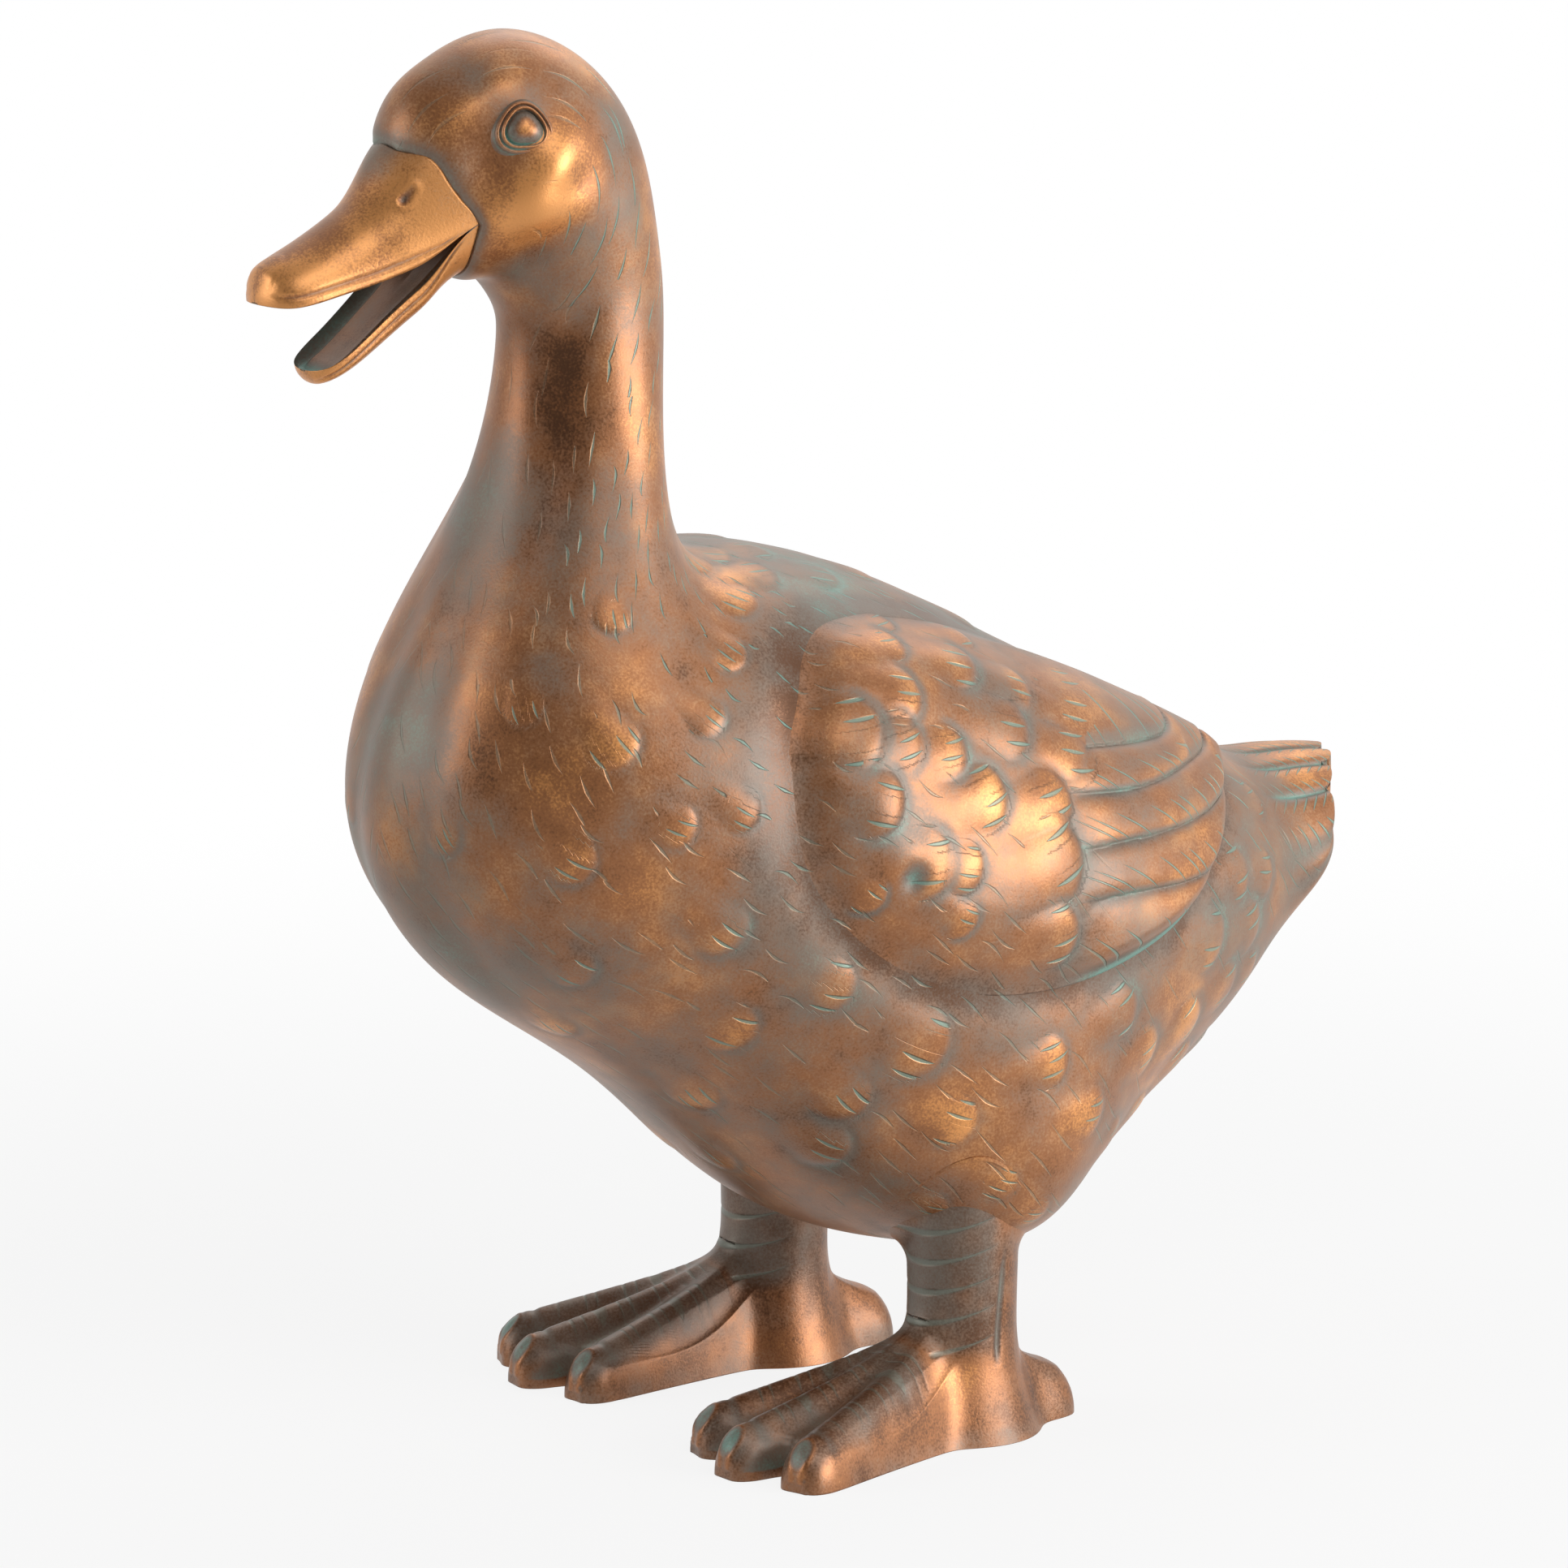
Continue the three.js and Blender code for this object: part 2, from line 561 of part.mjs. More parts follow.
function eye() {
  const ball = EYE_RADIUS - LID_WIDTH;
  const dome = steps(0, Math.PI / 2, 4).map(
    (a) => new THREE.Vector2(ball * Math.cos(a), (EYE_DOME - LID_HEIGHT / 2) * Math.sin(a) + LID_HEIGHT / 2),
  );
  const profile = [
    new THREE.Vector2(0, -EYE_RADIUS / 2),
    new THREE.Vector2(EYE_RADIUS, -EYE_RADIUS / 2),
    new THREE.Vector2(EYE_RADIUS, LID_HEIGHT / 2),
    new THREE.Vector2(EYE_RADIUS - LID_WIDTH / 3, LID_HEIGHT),
    new THREE.Vector2(EYE_RADIUS - (2 * LID_WIDTH) / 3, LID_HEIGHT),
    ...dome.slice(0, -1),
    new THREE.Vector2(0, EYE_DOME),
  ];
  const raw = new THREE.LatheGeometry(profile, EYE_SIDES).applyQuaternion(eyeTurn).translate(...eyeSeat);
  return solid(raw).subtract(headGrown).add(eyeStem(0));
}
addPair("eye", geometryFrom(eye()), DARK_BRONZE);

// Head: a hollow cap closed by the muzzle, with sockets for the bill's tenons and the eyes' stems
function head() {
  const hollowRings = skinRings(headSteps.filter((t) => t <= MUZZLE - MUZZLE_WALL), -WALL);
  hollowRings[0] = shifted(hollowRings[0], HEAD_JOINT, -WALL);
  const eyeHole = geometryFrom(eyeStem(JOINT_GAP));
  const sockets = [
    tenon(UPPER_BILL, JOINT_GAP),
    tenon(LOWER_BILL, JOINT_GAP),
    solid(eyeHole),
    solid(mirrored(eyeHole)),
  ];
  const cap = solid(loft(tubeRings(headSteps, 0))).subtract(solid(loft(hollowRings)));
  return sockets.reduce((rest, socket) => rest.subtract(socket), cap);
}
addPiece("head", geometryFrom(head()), BRONZE);

// Wings: panels glued and pegged to the flanks, with short feathers in front of overlapping long ones
const wingUpper = curveThrough(WING_UPPER);
const wingLower = curveThrough(WING_LOWER);

function wingRise(along, across) {
  const dome = (1 - (2 * across ** WING_SKEW - 1) ** 4) * (1 - (2 * along - 1) ** 6);
  const shingle = PRIMARY_STEP * ((across * PRIMARY_COUNT) % 1);
  return WING_EDGE + dome * (WING_RISE + (along < COVERT_END ? COVERT_STEP : shingle));
}

function wingRows(rise) {
  const last = WING_UPPER.length - 1;
  return steps(0, 1, WING_ROWS).map((along) =>
    steps(0, 1, WING_COLUMNS).map((across) => {
      const [upper, lower] = [wingUpper, wingLower].map((edge) => edge(along * last));
      const [t, degrees] = upper.map((value, k) => value + (lower[k] - value) * across);
      return skin(t, radians(degrees), rise(along, across));
    }),
  );
}

function wing() {
  const raw = solid(wallBetween(wingRows(wingRise), wingRows(() => -WING_ROOT), false));
  return pegs(0).reduce((panel, peg) => panel.add(peg), raw.subtract(bodyGrown));
}
addPair("wing", geometryFrom(wing()), BRONZE);

// Legs: a round shank cut to the belly, three webbed toes and a hind toe, on a flat sole
const UP = new THREE.Vector3(0, 0, 1);

function alongToe({ angle, reach }, share) {
  const forward = new THREE.Vector3(0, -reach * share, 0);
  return forward.applyAxisAngle(UP, radians(angle + TOE_SPLAY)).add(legPoint(0));
}

const toeHeight = ({ height }, rootHeight, share) => height + (rootHeight - height) * (1 - share);

function toeSolid(toe, rootHeight) {
  const { angle, reach, width } = toe;
  const across = new THREE.Vector3(1, 0, 0).applyAxisAngle(UP, radians(angle + TOE_SPLAY));
  const shares = [...steps(0, 1 - width / reach / 2, 4), ...steps(1 - width / reach / 3, 1, 3)];
  const rings = shares.map((share) => {
    const intoTip = Math.max(0, 1 - ((1 - share) * reach) / (width / 2));
    const blunt = TOE_END + (1 - TOE_END) * Math.sqrt(1 - intoTip ** 2);
    const rise = toeHeight(toe, rootHeight, share) * blunt;
    return steps(0, Math.PI, TOE_COLUMNS).map((a) =>
      alongToe(toe, share)
        .addScaledVector(across, (width / 2) * blunt * Math.cos(a))
        .setZ(rise * Math.sin(a) ** TOE_SQUARE),
    );
  });
  return solid(loft(rings));
}

function web() {
  const bays = TOES.slice(1).map((toe, i) => ({
    angle: (toe.angle + TOES[i].angle) / 2,
    reach: ((toe.reach + TOES[i].reach) / 2) * (WEB_BAY / WEB_REACH),
    height: (toe.height + TOES[i].height) / 2,
  }));
  const ribs = [TOES[0], bays[0], TOES[1], bays[1], TOES[2]];
  const rings = steps(WEB_ROOT, WEB_REACH, 4).map((share) => {
    const sole = ribs.map((rib) => alongToe(rib, share));
    const top = ribs.map((rib, i) => sole[i].clone().setZ(toeHeight(rib, TOE_ROOT, share) - WEB_DROP));
    return [...sole, ...top.reverse()];
  });
  return solid(loft(rings));
}

function shank() {
  const rings = steps(0, LEG_TOP, LEG_ROWS).map((z) => {
    const spread = ANKLE_SPREAD * Math.max(0, 1 - z / ANKLE_HEIGHT) ** 2;
    const radius = LEG_RADIUS + (LEG_TAPER * z) / SHANK_TOP + spread;
    return steps(0, 2 * Math.PI, LEG_SIDES)
      .slice(0, -1)
      .map((a) => legPoint(z).add(new THREE.Vector3(radius * Math.cos(a), radius * Math.sin(a), 0)));
  });
  return solid(loft(rings));
}

function leg() {
  const toes = [...TOES.map((toe) => toeSolid(toe, TOE_ROOT)), toeSolid(HIND_TOE, HIND_ROOT)];
  const whole = [...toes, web()].reduce((foot, toe) => foot.add(toe), shank());
  return whole.subtract(bodyGrown).subtract(rodBore);
}
addPair("leg", geometryFrom(leg()), BRONZE);

// Leg rods: each stands in its leg, passes the boss and is drawn up by a nut on a washer
function plateOnRod(outline, bottom, top) {
  outline.holes.push(new THREE.Path().absarc(LEG_X, -LEG_FORE, ROD_RADIUS + ROD_CLEARANCE, 0, 2 * Math.PI));
  const plate = { depth: top - bottom, bevelEnabled: false, curveSegments: PIN_SIDES };
  return new THREE.ExtrudeGeometry(outline, plate).translate(0, 0, bottom);
}

function washer() {
  const outline = new THREE.Shape().absarc(LEG_X, -LEG_FORE, WASHER_RADIUS, 0, 2 * Math.PI);
  return plateOnRod(outline, tieTop + JOINT_GAP, washerTop);
}

function nut() {
  const axis = new THREE.Vector2(LEG_X, -LEG_FORE);
  const corner = (a) => new THREE.Vector2(NUT_RADIUS, 0).rotateAround(new THREE.Vector2(), a).add(axis);
  const outline = new THREE.Shape(steps(0, 2 * Math.PI, 6).slice(0, -1).map(corner));
  return plateOnRod(outline, washerTop + JOINT_GAP, nutTop);
}

const rodTop = legPoint(nutTop + ROD_SPARE);
addPair("leg_rod", cylinder(ROD_RADIUS, legPoint(ROD_FOOT), rodTop, LEG_SIDES), ZINC_STEEL);
addPair("rod_washer", washer(), ZINC_STEEL);
addPair("rod_nut", nut(), ZINC_STEEL);

// Tie bar: a flat bar across both bosses, trimmed to the room inside the body
function tieBar() {
  const length = 2 * (LEG_X + BOSS_RADIUS);
  const bar = new THREE.BoxGeometry(length, TIE_WIDTH, TIE_THICKNESS);
  bar.translate(0, -LEG_FORE, tieTop - TIE_THICKNESS / 2);
  const hole = geometryFrom(rodBore);
  return solid(bar).intersect(room).subtract(rodBore).subtract(solid(mirrored(hole)));
}
addPiece("leg_tie_bar", geometryFrom(tieBar()), ZINC_STEEL);

export default figure;
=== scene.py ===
import bpy
import numpy as np
from mathutils import Matrix, Vector


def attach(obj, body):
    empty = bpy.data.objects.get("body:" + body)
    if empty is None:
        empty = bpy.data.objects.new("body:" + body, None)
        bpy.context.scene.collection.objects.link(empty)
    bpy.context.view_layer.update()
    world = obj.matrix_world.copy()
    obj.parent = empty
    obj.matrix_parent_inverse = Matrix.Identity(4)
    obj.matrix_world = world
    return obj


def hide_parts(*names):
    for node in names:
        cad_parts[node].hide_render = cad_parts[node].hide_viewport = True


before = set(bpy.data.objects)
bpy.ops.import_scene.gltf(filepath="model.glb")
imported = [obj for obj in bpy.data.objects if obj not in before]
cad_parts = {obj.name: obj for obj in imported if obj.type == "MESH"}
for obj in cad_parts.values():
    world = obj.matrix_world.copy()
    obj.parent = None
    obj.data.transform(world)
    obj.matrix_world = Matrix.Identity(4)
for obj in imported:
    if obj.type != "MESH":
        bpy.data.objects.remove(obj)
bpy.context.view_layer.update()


# Body: two hollow half castings of filled resin, glued along the middle plane. Sparse feather tips are
# modelled in the casting, and each has a few strokes cut with a tool. The paint is a bronze, rubbed bright
# on the high places, with grey-green verdigris left in the hollows. Sizes here and below are millimetres.
MM = 0.001
TAIL_TIP = -204  # "fore" is the distance towards the bill, so a point's y is minus its fore
BILL_TIP = 186
FIGURE_Y = (BILL_TIP + TAIL_TIP) / 2  # the middle of the length stands over the origin
WALL = 6
TAIL_JOINT = 3.6  # stations where one casting ends and the next begins
NECK_JOINT = 12
HEAD_JOINT = 14.7
MUZZLE = 21

# One row for each section from the tail's tip to the bill's root: fore and height of its upper end, fore and
# height of its lower end, half width, how far down it is widest, how square its sides are, and their droop
STATIONS = (
    (TAIL_TIP, 188, TAIL_TIP, 183, 27, 0.5, 0.9, 14),
    (-197, 189, -196, 174, 30, 0.5, 0.9, 15),
    (-183, 190, -184, 152, 34, 0.5, 0.92, 11),
    (-166, 191, -168, 128, 39, 0.47, 0.95, 5),
    (-146, 199, -150, 106, 49, 0.46, 0.95, 0),
    (-118, 213, -122, 87, 63, 0.46, 0.93, 0),
    (-78, 235, -86, 66, 78, 0.47, 0.92, 0),
    (-32, 260, -42, 53, 87, 0.48, 0.92, 0),
    (8, 274.5, 12, 67, 87, 0.48, 0.93, 0),
    (32, 278.5, 64, 111, 82, 0.48, 0.95, 0),
    (45, 281, 115, 147, 74, 0.49, 0.97, 0),
    (51, 291, 144, 189, 62, 0.5, 1, 0),
    (51.5, 312, 138, 240, 46, 0.5, 1, 0),
    (49.5, 337, 110.5, 295, 32, 0.5, 1, 0),
    (48, 359, 99.5, 341, 25.5, 0.5, 1, 0),
    (51, 381, 101, 356, 26, 0.47, 1, 0),
    (58.5, 408, 105, 362, 29, 0.46, 0.97, 0),
    (74.5, 430, 108, 365, 31, 0.47, 0.95, 0),
    (98, 440, 111, 366, 31, 0.5, 0.95, 0),
    (120, 434.5, 115, 366, 27.5, 0.54, 0.95, 0),
    (135, 424.5, 118.5, 366.5, 23.5, 0.58, 0.92, 0),
    (142, 410, 121.5, 367.5, 19.5, 0.6, 0.9, 0),
)
THIGH = np.array([62, 45, 82])  # middle of the belly's bulge over the left leg
THIGH_SWELL = 18
THIGH_SPREAD = 36


def curve_through(rows):
    """A natural cubic spline through rows one unit of t apart: each piece is a cubic, slopes and bends match
    where pieces meet, and the two ends don't bend. Gives the function from an array of t to rows."""
    rows = np.asarray(rows, float)
    last = len(rows) - 1
    inner = np.arange(1, last)
    ties = np.eye(last + 1)
    ties[inner, inner] = 4
    ties[inner, inner - 1] = 1
    ties[inner, inner + 1] = 1
    pull = np.zeros_like(rows)
    pull[1:-1] = 6 * (rows[2:] - 2 * rows[1:-1] + rows[:-2])
    bend = np.linalg.solve(ties, pull)

    def at(t):
        t = np.asarray(t, float)
        i = np.clip(np.floor(t).astype(int), 0, last - 1)
        a = (t - i)[..., None]
        b = 1 - a
        return b * rows[i] + a * rows[i + 1] + ((b**3 - b) * bend[i] + (a**3 - a) * bend[i + 1]) / 6

    return at


station_at = curve_through(STATIONS)


def section(t, angle, out):
    """A point of the oval section at t: its side is a power of the angle's sine times the half width, and it
    lies between the upper and lower ends by half of one minus the cosine. The oval is grown by out."""
    upper_fore, upper_z, lower_fore, lower_z, half, widest, square, droop = np.moveaxis(station_at(t), -1, 0)
    fore_span = lower_fore - upper_fore
    z_span = lower_z - upper_z
    grow = out / np.hypot(fore_span, z_span)
    sine = np.sin(angle)
    down = (1 - np.cos(angle)) / 2 + (widest - 0.5) * sine**2
    share = down * (1 + 2 * grow) - grow
    side = np.sign(sine) * np.abs(sine) ** square
    fore = upper_fore + fore_span * share
    z = upper_z + z_span * share - droop * side**2
    return np.stack([(half + out) * side, -fore, z], -1)


def skin(t, angle, out=0.0):
    """The duck's skin: the section point, swollen over each leg by a bell curve of the distance to the thigh.
    The angle runs from the back (0) over the duck's left side to the belly (pi)."""
    t, angle = np.broadcast_arrays(t, angle)
    point = section(t, angle, 0.0)
    point[..., 0] = np.abs(point[..., 0])
    reach = np.linalg.norm(point - THIGH, axis=-1)
    return section(t, angle, out + THIGH_SWELL * np.exp(-((reach / THIGH_SPREAD) ** 2)))


def smooth(start, end, x):
    """A soft step from 0 at start to 1 at end: three times the square less twice the cube."""
    x = np.clip((x - start) / (end - start), 0, 1)
    return x * x * (3 - 2 * x)


def bell(x, width):
    """A bell curve, 1 in the middle: e to minus the square of x over the width."""
    return np.exp(-((x / width) ** 2))


def unit(vectors):
    return vectors / np.linalg.norm(vectors, axis=-1, keepdims=True)


SPARE = 2  # rows and columns worked out beyond a casting's edges, so that its slopes match the next one's


def with_spare(steps):
    """Steps with SPARE more beyond each end, mirrored from the steps inside."""
    before = 2 * steps[0] - steps[SPARE:0:-1]
    after = 2 * steps[-1] - steps[-2 : -2 - SPARE : -1]
    return np.concatenate([before, steps, after])


def inside(grid):
    return grid[SPARE:-SPARE, SPARE:-SPARE]


def lengths_along(line):
    """The length of a line from its first point to each of its points."""
    return np.concatenate([[0], np.cumsum(np.linalg.norm(np.diff(line, axis=0), axis=1))])


def even_stations(start, end, count, angle):
    """Stations that lie evenly along the skin at one angle: the inverse of its length as a function of t."""
    fine = np.linspace(start, end, 40 * count)
    length = lengths_along(skin(fine, angle))
    return np.interp(np.linspace(0, length[-1], count + 1), length, fine)


def normals_of(points):
    """Unit normals of a grid: the cross product of its slopes along the rows and along the columns."""
    return unit(np.cross(np.gradient(points, axis=0), np.gradient(points, axis=1)))


def raised(points, height):
    """A grid moved along its normals."""
    return points + normals_of(points) * height[..., None]


def blurred(field, passes):
    """A field averaged with its neighbours again and again, by quarter, half, quarter each way."""
    for _ in range(passes):
        wide = np.pad(field, 1, mode="edge")
        wide = (wide[:-2] + 2 * wide[1:-1] + wide[2:]) / 4
        field = (wide[:, :-2] + 2 * wide[:, 1:-1] + wide[:, 2:]) / 4
    return field


def place_on_skin(station, degrees):
    """A place on the skin, the way to the tail there and the way across it."""
    step = 0.01
    angle = np.radians(degrees)
    seat = skin(station, angle)
    towards_tail = unit(skin(station - step, angle) - seat)
    normal = unit(np.cross(skin(station, angle + step) - seat, towards_tail))
    return seat, towards_tail, np.cross(normal, towards_tail)


TIP_LENGTH = 2.2  # a feather tip rises out of the skin over this many half widths
TIP_REACH = 3.2  # and nothing of it lies further than this from its place
TIP_TURN = 0.3  # the most that a tip is turned aside, in radians
MOAT = (1.08, 0.15, 0.14)  # round a tip's end: radius and width in half widths, and share of the tip's height
STROKE_PITCH = 0.5  # the strokes on a tip stand this many half widths apart


def feather_tips(points, tips, place):
    """Relief of rounded feather tips. A tip is a ramp that rises towards its end, times a power of one minus
    the square or the cube of the distance from its middle line, soft at the root and steep round the end,
    where a moat lies before it. Also gives the moats alone, and coordinates for the bowed tool strokes: the
    number of the stroke across the tip, the place along it from -1 to 1, and how clearly it shows."""
    relief = np.zeros(points.shape[:2])
    moats = np.zeros(points.shape[:2])
    quill = np.zeros(points.shape)
    for count, (first, second, half_width, height) in enumerate(tips):
        seat, heading, across = place(first, second)
        offset = points - seat
        near = np.einsum("ijk,ijk->ij", offset, offset) < (TIP_REACH * half_width) ** 2
        turn = TIP_TURN * np.sin(5.1 * count)
        u = offset[near] @ (np.cos(turn) * heading + np.sin(turn) * across) / half_width
        v = offset[near] @ (np.cos(turn) * across - np.sin(turn) * heading) / half_width
        end = smooth(-0.2, 0.7, u)
        r = np.hypot(np.maximum(u, 0), v * (1 + 0.22 * np.maximum(-u, 0)))
        soft = np.clip(1 - r**2, 0, None) ** 1.5
        steep = np.clip(1 - np.minimum(r, 1) ** 3, 0, None)
        mound = height * smooth(-TIP_LENGTH, 0.7, u) * (soft + (steep - soft) * end)
        moat = bell(r - MOAT[0], MOAT[1]) * end
        relief[near] = np.maximum(relief[near], mound) - MOAT[2] * height * moat
        moats[near] = np.maximum(moats[near] * smooth(1.2, 0.8, mound / height), moat)
        number = (v - 0.2 * u * np.abs(u)) / STROKE_PITCH + 0.5 * (count % 2)
        draw = np.sin(3.7 * count + 2.1 * np.round(number))
        shows = smooth(1.05, 0.9, r) * smooth(-0.6, -0.3, u) * (draw > -0.6)
        strokes = np.stack([number, (u - 0.3 - 0.2 * draw) / 0.5, shows], -1)
        quill[near] = np.where(shows[:, None] > 0, strokes, quill[near])
    return relief, moats, quill


def grid_faces(rows, columns, closed=False):
    """Quads between the points of a grid numbered row by row. Where it is closed, the last column joins the
    first one."""
    i, j = np.meshgrid(np.arange(rows - 1), np.arange(columns if closed else columns - 1), indexing="ij")
    row, next_row, next_j = i * columns, (i + 1) * columns, (j + 1) % columns
    return np.stack([row + j, row + next_j, next_row + next_j, next_row + j], -1).reshape(-1, 4)


def rim_faces(fine, coarse):
    """Triangles between two lines of point numbers. The fine line has several steps to each coarse one."""
    ratio = (len(fine) - 1) // (len(coarse) - 1)
    near = np.repeat(coarse[:-1], ratio)
    fans = np.stack([near, fine[:-1], fine[1:]], -1)
    links = np.stack([coarse[:-1], fine[ratio::ratio], coarse[1:]], -1)
    return np.concatenate([fans, links])


def fan_faces(ring, centre):
    """Triangles from a closed ring of point numbers to one point."""
    return np.stack([ring, np.roll(ring, -1), np.full_like(ring, centre)], -1)


def capped_faces(rows, columns):
    """Faces of a closed grid with a fan over each end. The two middles are numbered next after its points."""
    first = np.arange(columns)
    size = rows * columns
    ends = [fan_faces(first, size)[:, ::-1], fan_faces(size - columns + first, size + 1)]
    return [grid_faces(rows, columns, closed=True), *ends]


def turned_out(points, faces):
    """Faces whose edges all run one way, turned so that the volume that they enclose is positive."""
    volume = 0.0
    for face in faces:
        for k in range(1, face.shape[1] - 1):
            a, b, c = points[face[:, 0]], points[face[:, k]], points[face[:, k + 1]]
            volume += np.einsum("ij,ij->", a, np.cross(b, c))
    return faces if volume > 0 else [face[:, ::-1] for face in faces]


def stacked(*grids):
    """The points of several grids or single points, in one list."""
    return np.concatenate([np.reshape(grid, (-1, 3)) for grid in grids])


def put_mesh(name, points, faces, data, normals=None):
    """A mesh object from points in millimetres and arrays of faces, with its point attributes and normals."""
    points = points + np.array([0, FIGURE_Y, 0])
    faces = turned_out(points, faces)
    mesh = bpy.data.meshes.new(name)
    mesh.vertices.add(len(points))
    mesh.vertices.foreach_set("co", (points * MM).astype(np.float32).ravel())
    corners = np.concatenate([face.ravel() for face in faces])
    sizes = np.concatenate([np.full(len(face), face.shape[1]) for face in faces])
    mesh.loops.add(len(corners))
    mesh.loops.foreach_set("vertex_index", corners.astype(np.int32))
    mesh.polygons.add(len(sizes))
    mesh.polygons.foreach_set("loop_start", (np.cumsum(sizes) - sizes).astype(np.int32))
    mesh.update(calc_edges=True)
    mesh.shade_smooth()
    for key, values in data.items():
        vector = values.ndim == 2
        layer = mesh.attributes.new(key, "FLOAT_VECTOR" if vector else "FLOAT", "POINT")
        padded = np.zeros((len(points), 3) if vector else len(points), np.float32)
        padded[: len(values)] = values
        layer.data.foreach_set("vector" if vector else "value", padded.ravel())
    if normals is not None:
        padded = np.zeros((len(points), 3))
        padded[: len(normals)] = normals
        mesh.normals_split_custom_set_from_vertices(padded.tolist())
    mesh.validate()
    piece = bpy.data.objects.new(name, mesh)
    bpy.context.scene.collection.objects.link(piece)
    return piece


class Wire:
    """A socket in a node tree, with Python's operators for the maths on its values."""

    def __init__(self, tree, socket=None):
        self.tree = tree
        self.socket = socket

    def make(self, kind, settings=None, sockets=None, out=0):
        """Adds a node with its settings, and the values or links of its sockets. Gives one of its outputs."""
        node = self.tree.nodes.new("ShaderNode" + kind)
        for key, value in (settings or {}).items():
            setattr(node, key, value)
        for key, value in (sockets or {}).items():
            if isinstance(value, Wire):
                self.tree.links.new(value.socket, node.inputs[key])
            else:
                node.inputs[key].default_value = value
        return Wire(self.tree, node.outputs[out]) if node.outputs else node

    def maths(self, operation, *values):
        return self.make("Math", {"operation": operation}, dict(enumerate(values)))

    def vector_maths(self, operation, *values, out="Value"):
        return self.make("VectorMath", {"operation": operation}, dict(enumerate(values)), out)

    def most(self, other):
        return self.maths("MAXIMUM", self, other)

    def ray(self, kind):
        """1 for rays of one kind, else 0."""
        return self.make("LightPath", out="Is " + kind + " Ray")

    def __add__(self, other):
        return self.maths("ADD", self, other)

    def __radd__(self, other):
        return self.maths("ADD", other, self)

    def __sub__(self, other):
        return self.maths("SUBTRACT", self, other)

    def __rsub__(self, other):
        return self.maths("SUBTRACT", other, self)

    def __mul__(self, other):
        return self.maths("MULTIPLY", self, other)

    def __rmul__(self, other):
        return self.maths("MULTIPLY", other, self)

    def __truediv__(self, other):
        return self.maths("DIVIDE", self, other)

    def __abs__(self):
        return self.maths("ABSOLUTE", self)

    def step(self, start, end):
        """A soft step of this value from 0 at start to 1 at end."""
        sockets = {"Value": self, "From Min": start, "From Max": end}
        return self.make("MapRange", {"interpolation_type": "SMOOTHSTEP"}, sockets)

    def parts(self):
        """The three components of a vector or a colour."""
        split = self.make("SeparateXYZ", sockets={0: self})
        return [Wire(self.tree, socket) for socket in split.socket.node.outputs]

    def mixed(self, first, second):
        """Two colours, mixed by this value."""
        return self.make("Mix", {"data_type": "RGBA"}, {0: self, 6: first, 7: second}, out=2)

    def attribute(self, name, out="Fac"):
        return self.make("Attribute", {"attribute_name": name}, out=out)

    def noise(self, vector, scale, detail=2.0, roughness=0.5):
        sockets = {"Vector": vector, "Scale": scale, "Detail": detail, "Roughness": roughness}
        return self.make("TexNoise", sockets=sockets)


def empty_tree(owner):
    """The node tree of a material or a world, emptied, as a wire to build from."""
    owner.use_nodes = True
    owner.node_tree.nodes.clear()
    return Wire(owner.node_tree)


def paint(red, green, blue):
    """A colour given in display numbers from 0 to 255, as the linear colour that a shader takes."""
    shares = np.array([red, green, blue]) / 255
    linear = np.where(shares <= 0.04045, shares / 12.92, ((shares + 0.055) / 1.055) ** 2.4)
    return (*linear.tolist(), 1.0)


# Copper shows on rubbed high places and also where a piece is painted lighter as a highlight; umber is the
# dark glaze and also the painted shade.
COPPER = paint(218, 150, 86)  # rubbed high places
BRONZE = paint(156, 102, 62)
UMBER = paint(96, 62, 38)  # dark glaze
HAZE = paint(114, 107, 97)  # thin grey bloom
VERDIGRIS = paint(104, 150, 138)
STROKE_CELL = (8.0, 13.0)  # loose strokes: one to each cell of the skin this wide and this long
STROKE_HALF = 0.42  # half a stroke's length, in cells
STROKE_WIDTH = (0.1, 0.15)  # of loose strokes in cells, and of tool strokes in pitches
CLOUD = (26.0, 4.0, 0.6)  # noise in the paint: scale, detail and roughness
DRIFT = (70.0, 4.0, 0.6)
GRAIN = (1300.0, 1.0, 0.5)
CUT_DEPTH = 0.0009  # of a stroke, in metres


def loose_strokes(at, plume):
    """Short curved strokes, one to a cell: the distance to a slanted line through the cell's own point."""
    cells = at.vector_maths("DIVIDE", plume, (*STROKE_CELL, 1.0), out="Vector")
    flat = {"voronoi_dimensions": "2D"}
    scatter = {"Vector": cells, "Scale": 1.0, "Randomness": 0.85}
    seed = at.make("TexVoronoi", flat, scatter, out="Position")
    draw = at.make("TexVoronoi", flat, scatter, out="Color").parts()
    x, y, _ = at.vector_maths("SUBTRACT", cells, seed, out="Vector").parts()
    slant = draw[0] * 0.6 + 0.5
    bow = (draw[1] - 0.5) * 2.4
    line = abs(x - slant * y - bow * y * y)
    taper = 1 - (abs(y) / STROKE_HALF)
    within = (line / (taper * STROKE_WIDTH[0] + 0.0001)).step(1.0, 0.35)
    return within * taper.step(0.0, 0.2) * draw[2].step(0.3, 0.4)


def tool_strokes(at, quill):
    """Strokes cut across a feather: the distance to the nearest whole number, within a width that tapers."""
    number, along, shows = quill.parts()
    distance = abs(at.maths("FRACT", number + 0.5) - 0.5)
    taper = 1 - along * along
    within = (distance / (taper.most(0.02) * STROKE_WIDTH[1])).step(1.0, 0.4)
    return within * shows * taper.step(0.0, 0.25)


